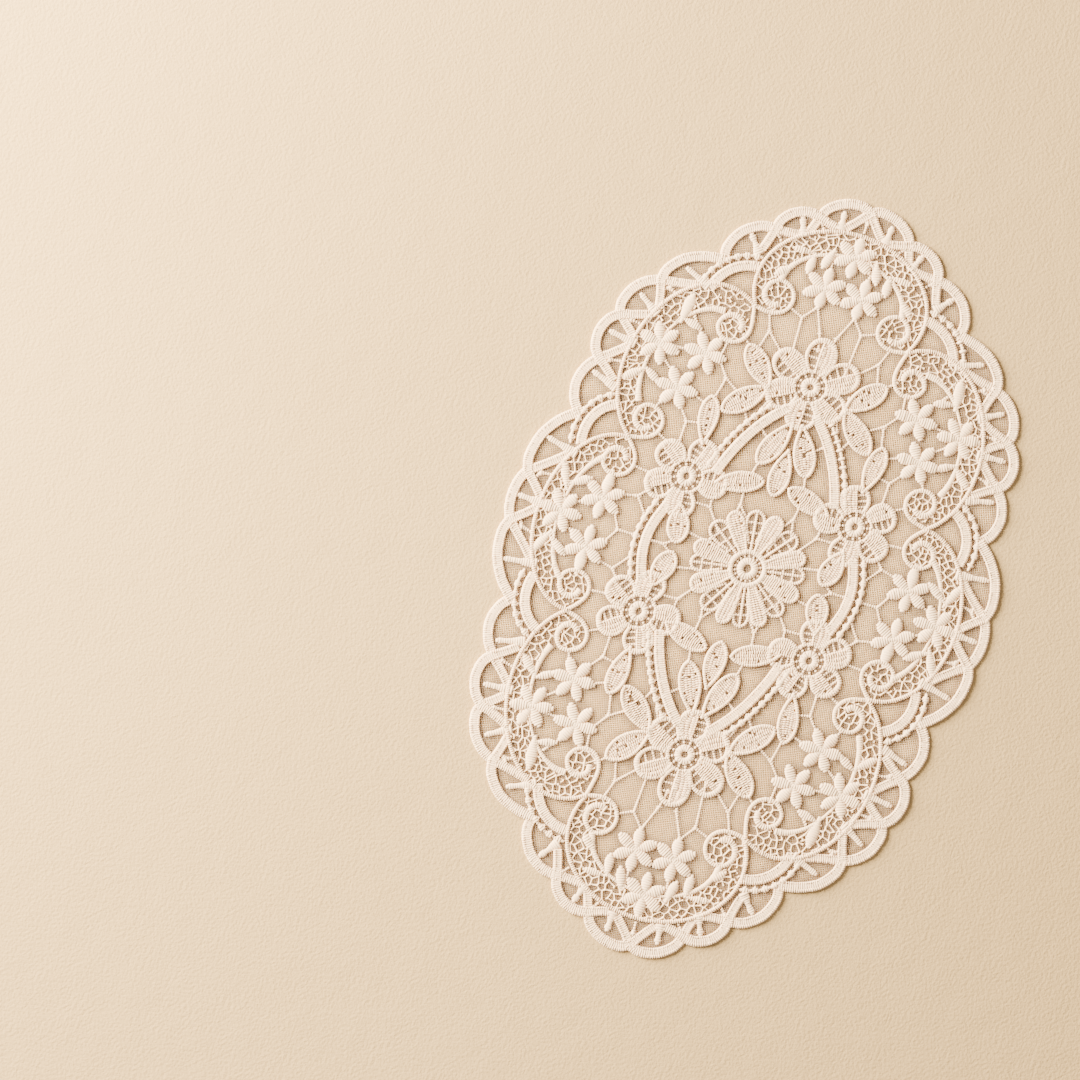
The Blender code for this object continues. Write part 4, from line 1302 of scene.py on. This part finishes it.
def tulle_material(settings):
    """Fine thread, darkened with painted shade where it lies between close work."""
    material, tree, place, drift = new_material(
        "fine_tulle", settings.mesh_color, settings.mesh_shade, 70.0, 0.5)
    crowded = node(tree, "ShaderNodeAttribute", attribute_name="crowding")
    # Painted shade: the tulle turns towards the darker colour where the work crowds round it, in
    # place of the lace's occlusion.
    occlusion_shade = ranged(tree, crowded.outputs["Fac"], 0.12, 0.62)
    fibre = noise(tree, place, 3200.0, 2.0)
    surfaced(tree, fibre, 0.3, 0.0001, {
        "Base Color": blended(tree, occlusion_shade, drift, (*settings.mesh_occlusion_shade, 1.0)),
        "Roughness": ranged(tree, fibre, 0.0, 1.0, 0.75, 0.9),
    })
    return material


def plaster_material(settings):
    """Smooth pale plaster with faint trowel marks."""
    material, tree, place, drift = new_material(
        "pale_plaster", settings.floor_color, settings.floor_shade, 5.0, 0.35)
    grain, swell = noise(tree, place, 620.0, 4.0), noise(tree, place, 60.0, 2.0)
    height = maths(tree, "ADD", grain, maths(tree, "MULTIPLY", swell, 0.9))
    surfaced(tree, height, 0.6, 0.0007, {
        "Base Color": drift,
        "Roughness": 0.95,
        "Specular IOR Level": 0.2,
    })
    return material


# ------------------------------------------------------------------ tulle
def crowding(low, high):
    """A grid over the cloth that tells how much of it is sewn over around each cell, which sets
    where the tulle gets its painted shade.
    """
    cell = CROWD_CELL
    size = [int((high[k] - low[k]) / cell) + 2 for k in (0, 1)]
    covered = np.zeros(size)
    for work in [make() for make in WORKS] + [{"net": net_work()}]:
        for part in [part for parts in work.values() for part in parts]:
            for place, half in dense_points(part, cell):
                i, j = (int((place[k] - low[k]) / cell) for k in (0, 1))
                wide = max(1, round(0.9 * half / cell))
                covered[max(0, i - wide):i + wide + 1, max(0, j - wide):j + wide + 1] = 1.0
    steps = round(CROWD_REACH / cell)
    for axis in (0, 1):
        for _ in range(2):
            total = np.cumsum(np.insert(covered, 0, 0.0, axis=axis), axis=axis)
            count = covered.shape[axis]
            first = np.clip(np.arange(count) - steps, 0, count)
            last = np.clip(np.arange(count) + steps + 1, 0, count)
            covered = np.take(total, last, axis) - np.take(total, first, axis)
            covered = covered / (2 * steps + 1)
    return covered


def dense_points(part, spacing):
    """Points along a strand, each with its half width there."""
    pairs = zip(part.path, part.path[1:], part.halves, part.halves[1:])
    for a, b, half_a, half_b in pairs:
        count = max(1, math.ceil(math.dist(a, b) / spacing))
        for k in range(count):
            yield lerp(a, b, k / count), half_a + (half_b - half_a) * k / count


def cuts(start, along, loop):
    """How far along a straight line from its start it cuts each side of a loop."""
    found = []
    for a, b in zip(loop, loop[1:] + loop[:1]):
        from_a, from_b = (inner(sub(p, start), left(along)) for p in (a, b))
        if (from_a > 0) != (from_b > 0):
            spot = lerp(a, b, from_a / (from_a - from_b))
            found.append(inner(sub(spot, start), along))
    return sorted(found)


def wandering(point):
    """Where a point of an even net lies once the net has been pulled a little."""
    x, y = point
    return (x + 0.45 * math.sin(y / 13) + 0.3 * math.sin((x + y) / 7),
            y + 0.45 * math.sin(x / 11) + 0.3 * math.sin((x - y) / 8))


def tulle_guide(settings):
    """The tulle's two sets of threads, which end under the tape of the edge, and its area."""
    loop = sorted({p for part in edge_arches() for p in part.path},
                  key=lambda p: math.atan2(p[1] - MIDDLE[1], p[0] - MIDDLE[0]))
    pitch = settings.mesh_pitch / MM
    half = pitch * settings.mesh_thread / 2
    threads = []
    for degrees, height in zip(TULLE_ANGLES, (TULLE_HEIGHT, TULLE_HEIGHT + half)):
        along = polar((0.0, 0.0), 1.0, degrees)
        count = round(HALF_LENGTH * 1.1 / pitch)
        for k in range(-count, count + 1):
            start = add(MIDDLE, left(along), k * pitch)
            ends = cuts(start, along, loop)
            for a, b in zip(ends[::2], ends[1::2]):
                steps = max(1, round((b - a) / TULLE_STEP))
                path = [wandering(add(start, along, a + (b - a) * i / steps))
                        for i in range(steps + 1)]
                threads.append(Strand(path, [half] * (steps + 1), 0.0, height))
    guide = guide_object("tulle", threads)
    low, high = box_around(loop, 2)
    crowded = crowding(low, high)
    # How close the work lies at each point of a tulle thread, for the tulle's painted shade.
    values = [crowded[int((x - low[0]) / CROWD_CELL), int((y - low[1]) / CROWD_CELL)]
              for part in threads for x, y in part.path]
    mark(guide.data, "crowding", values)
    area = abs(sum(a[0] * b[1] - b[0] * a[1] for a, b in zip(loop, loop[1:] + loop[:1]))) / 2
    return guide, area * MM ** 2


# ------------------------------------------------------------------ stage
def view_axes():
    """The directions on the table that the picture shows as right and up."""
    lean = math.radians(LEAN)
    return (Vector((math.cos(lean), math.sin(lean), 0.0)),
            Vector((-math.sin(lean), math.cos(lean), 0.0)))


def daisy_place():
    """The daisy's middle on the table, in metres."""
    return Vector((*(d * MM for d in sub(laid(DAISY), MIDDLE)), 0.0))


def picture_centre():
    right, up = view_axes()
    pixel = MM_PER_PIXEL * MM
    across = PICTURE / 2 - DAISY_PIXEL[0]
    down = PICTURE / 2 - DAISY_PIXEL[1]
    return daisy_place() + right * across * pixel - up * down * pixel


def add_camera():
    data = bpy.data.cameras.new("camera")
    data.lens = LENS
    data.sensor_width = SENSOR
    camera = placed("camera", data)
    height = PICTURE * MM_PER_PIXEL * MM * LENS / SENSOR
    camera.location = picture_centre() + Vector((0, 0, height))
    camera.rotation_euler = (0.0, 0.0, math.radians(LEAN))
    bpy.context.scene.camera = camera


def add_lights(settings):
    right, up = view_axes()
    data = bpy.data.lights.new("window", "AREA")
    data.shape = "DISK"
    data.size = settings.light_size
    data.energy = settings.light_power
    data.color = settings.light_color
    light = placed("window", data)
    towards = (right * LIGHT_FROM[0] + up * LIGHT_FROM[1]) * math.cos(settings.light_height)
    towards.z = math.sin(settings.light_height)
    light.location = picture_centre() + towards * settings.light_distance
    light.rotation_euler = towards.to_track_quat("Z", "Y").to_euler()
    world = bpy.data.worlds.new("studio")
    world.use_nodes = True
    background = world.node_tree.nodes["Background"]
    background.inputs["Color"].default_value = (*settings.fill_color, 1.0)
    background.inputs["Strength"].default_value = settings.fill_strength
    bpy.context.scene.world = world


def add_floor(settings):
    bm = bmesh.new()
    bmesh.ops.create_grid(bm, x_segments=1, y_segments=1, size=settings.floor_size / 2)
    floor = placed("floor", meshed(bm, "floor"))
    floor.data.materials.append(plaster_material(settings))


# ------------------------------------------------------------------ settings
def color_property(name, description, default):
    return bpy.props.FloatVectorProperty(name=name, description=description, default=default,
                                         size=3, min=0.0, max=1.0, subtype="COLOR")


def length_property(name, description, default):
    return bpy.props.FloatProperty(name=name, description=description, default=default,
                                   min=0.0, precision=5, unit="LENGTH")


def share_property(name, description, default):
    return bpy.props.FloatProperty(name=name, description=description, default=default,
                                   min=0.0, max=4.0)


class LaceThread(PropertyGroup):
    """The thread that the lace is sewn with"""
    pitch: length_property("Stitch pitch", "Distance between satin stitches", 0.00120)
    unevenness: share_property("Unevenness", "How unevenly the stitches lie", 1.0)
    seed: bpy.props.IntProperty(name="Seed", description="Seed of the unevenness", default=7)
    thread_color: color_property("Thread", "Colour of the thread", (0.985, 0.70, 0.405))
    shade_color: color_property("Thread shade", "Colour that it drifts to", (0.95, 0.63, 0.355))
    # The groove colour and its depth are painted shade between the stitches.
    groove_shade_color: color_property("Groove", "Colour between the stitches", (0.62, 0.42, 0.25))
    groove_shade_depth: share_property("Groove depth", "How dark the grooves are", 0.4)


class LaceGround(PropertyGroup):
    """The tulle under the lace"""
    mesh_pitch: length_property("Mesh pitch", "Distance between the net's threads", 0.00112)
    mesh_thread: share_property("Mesh thread", "Thread width as a share of the pitch", 0.275)
    mesh_color: color_property("Tulle", "Colour of the tulle", (0.96, 0.72, 0.42))
    # Painted shade: the darker colour that stands in for the lace's occlusion on the tulle
    # between close work.
    mesh_occlusion_shade: color_property("Tulle in holes", "Colour between close work", (0.34, 0.235, 0.16))
    mesh_shade: color_property("Tulle shade", "Colour that it drifts to", (0.78, 0.54, 0.29))


class LaceStage(PropertyGroup):
    """The floor and the light"""
    floor_size: length_property("Floor size", "Side of the floor", 4.0)
    floor_color: color_property("Floor", "Colour of the floor", (0.500, 0.336, 0.140))
    floor_shade: color_property("Floor shade", "Colour that it drifts to", (0.462, 0.304, 0.122))
    light_size: length_property("Window size", "Width of the main light", 1.05)
    light_distance: length_property("Window distance", "From the cloth to the main light", 1.35)
    light_power: bpy.props.FloatProperty(name="Window power", default=281.0, min=0.0,
                                         description="Power of the main light", unit="POWER")
    light_height: bpy.props.FloatProperty(name="Window height", default=math.radians(24),
                                          description="Its angle above the table",
                                          subtype="ANGLE")
    light_color: color_property("Window colour", "Colour of the main light", (1.0, 0.919, 0.787))
    fill_color: color_property("Fill colour", "Colour of the room's light", (1.0, 0.92, 0.89))
    fill_strength: share_property("Fill strength", "Strength of the room's light", 0.70)


# ------------------------------------------------------------------ operators
class LACEDOILY_OT_stage(Operator):
    """Set up the floor, the light and the camera"""
    bl_idname = "lace_doily.stage"
    bl_label = "Floor, light and camera"

    def execute(self, context):
        add_floor(context.scene.lace_stage)
        add_lights(context.scene.lace_stage)
        add_camera()
        return {"FINISHED"}


class LACEDOILY_OT_edge(Operator):
    """Sew the scalloped edge with its buds and webs"""
    bl_idname = "lace_doily.edge"
    bl_label = "Scalloped edge"

    def execute(self, context):
        sew("scalloped_edge", edge_work())
        return {"FINISHED"}


class LACEDOILY_OT_medallions(Operator):
    """Sew the cords, curls, stems and drops of the eight medallions"""
    bl_idname = "lace_doily.medallions"
    bl_label = "Medallions"

    def execute(self, context):
        sew("medallion_cords", medallion_work())
        return {"FINISHED"}


class LACEDOILY_OT_crackle(Operator):
    """Draw the crackle net that fills the medallions"""
    bl_idname = "lace_doily.crackle"
    bl_label = "Crackle net"

    def execute(self, context):
        material = thread_material(context.scene.lace_thread)
        spin("crackle_net", guide_object("crackle", net_work()), NET_SIDES, material)
        return {"FINISHED"}


class LACEDOILY_OT_florets(Operator):
    """Sew the small flowers of the medallions"""
    bl_idname = "lace_doily.florets"
    bl_label = "Florets"

    def execute(self, context):
        sew("florets", floret_work())
        return {"FINISHED"}


class LACEDOILY_OT_tapes(Operator):
    """Sew the tapes of the joins and of the inner oval, with their beads"""
    bl_idname = "lace_doily.tapes"
    bl_label = "Inner tapes and beads"

    def execute(self, context):
        sew("inner_tapes", tape_work())
        return {"FINISHED"}


class LACEDOILY_OT_flowers(Operator):
    """Sew the six flowers of the garland"""
    bl_idname = "lace_doily.flowers"
    bl_label = "Garland flowers"

    def execute(self, context):
        sew("garland_flowers", flower_work())
        return {"FINISHED"}


class LACEDOILY_OT_leaves(Operator):
    """Sew the leaves"""
    bl_idname = "lace_doily.leaves"
    bl_label = "Leaves"

    def execute(self, context):
        sew("leaves", leaf_work())
        return {"FINISHED"}


class LACEDOILY_OT_daisy(Operator):
    """Sew the daisy in the middle"""
    bl_idname = "lace_doily.daisy"
    bl_label = "Daisy"

    def execute(self, context):
        sew("middle_daisy", daisy_work())
        return {"FINISHED"}


class LACEDOILY_OT_bars(Operator):
    """Sew the bars that hold the motifs together"""
    bl_idname = "lace_doily.bars"
    bl_label = "Bars"

    def execute(self, context):
        sew("bars", bar_work())
        return {"FINISHED"}


class LACEDOILY_OT_ground(Operator):
    """Lay the tulle under the sewn pieces"""
    bl_idname = "lace_doily.ground"
    bl_label = "Tulle ground"

    def execute(self, context):
        guide, area = tulle_guide(context.scene.lace_ground)
        material = tulle_material(context.scene.lace_ground)
        ground = spin("tulle_ground", guide, TULLE_SIDES, material)
        return {"FINISHED"}


STEPS = ["stage", "edge", "medallions", "crackle", "florets", "tapes", "flowers", "leaves",
         "daisy", "bars", "ground"]


class LACEDOILY_PT_panel(Panel):
    """The doily's settings and its steps, in order"""
    bl_label = "Lace doily"
    bl_idname = "LACEDOILY_PT_panel"
    bl_space_type = "VIEW_3D"
    bl_region_type = "UI"
    bl_category = "Lace doily"

    def draw(self, context):
        for group in (context.scene.lace_thread, context.scene.lace_ground,
                      context.scene.lace_stage):
            box = self.layout.box()
            for name in group.__annotations__:
                box.prop(group, name)
        for step in STEPS:
            self.layout.operator(f"lace_doily.{step}")


CLASSES = [LaceThread, LaceGround, LaceStage, LACEDOILY_OT_stage, LACEDOILY_OT_edge,
           LACEDOILY_OT_medallions, LACEDOILY_OT_crackle, LACEDOILY_OT_florets,
           LACEDOILY_OT_tapes, LACEDOILY_OT_flowers, LACEDOILY_OT_leaves, LACEDOILY_OT_daisy,
           LACEDOILY_OT_bars, LACEDOILY_OT_ground, LACEDOILY_PT_panel]


def register():
    for cls in CLASSES:
        bpy.utils.register_class(cls)
    bpy.types.Scene.lace_thread = bpy.props.PointerProperty(type=LaceThread)
    bpy.types.Scene.lace_ground = bpy.props.PointerProperty(type=LaceGround)
    bpy.types.Scene.lace_stage = bpy.props.PointerProperty(type=LaceStage)


def unregister():
    for name in ("lace_stage", "lace_ground", "lace_thread"):
        delattr(bpy.types.Scene, name)
    for cls in reversed(CLASSES):
        bpy.utils.unregister_class(cls)


def main():
    register()
    for step in STEPS:
        getattr(bpy.ops.lace_doily, step)()


if __name__ == "__main__":
    main()
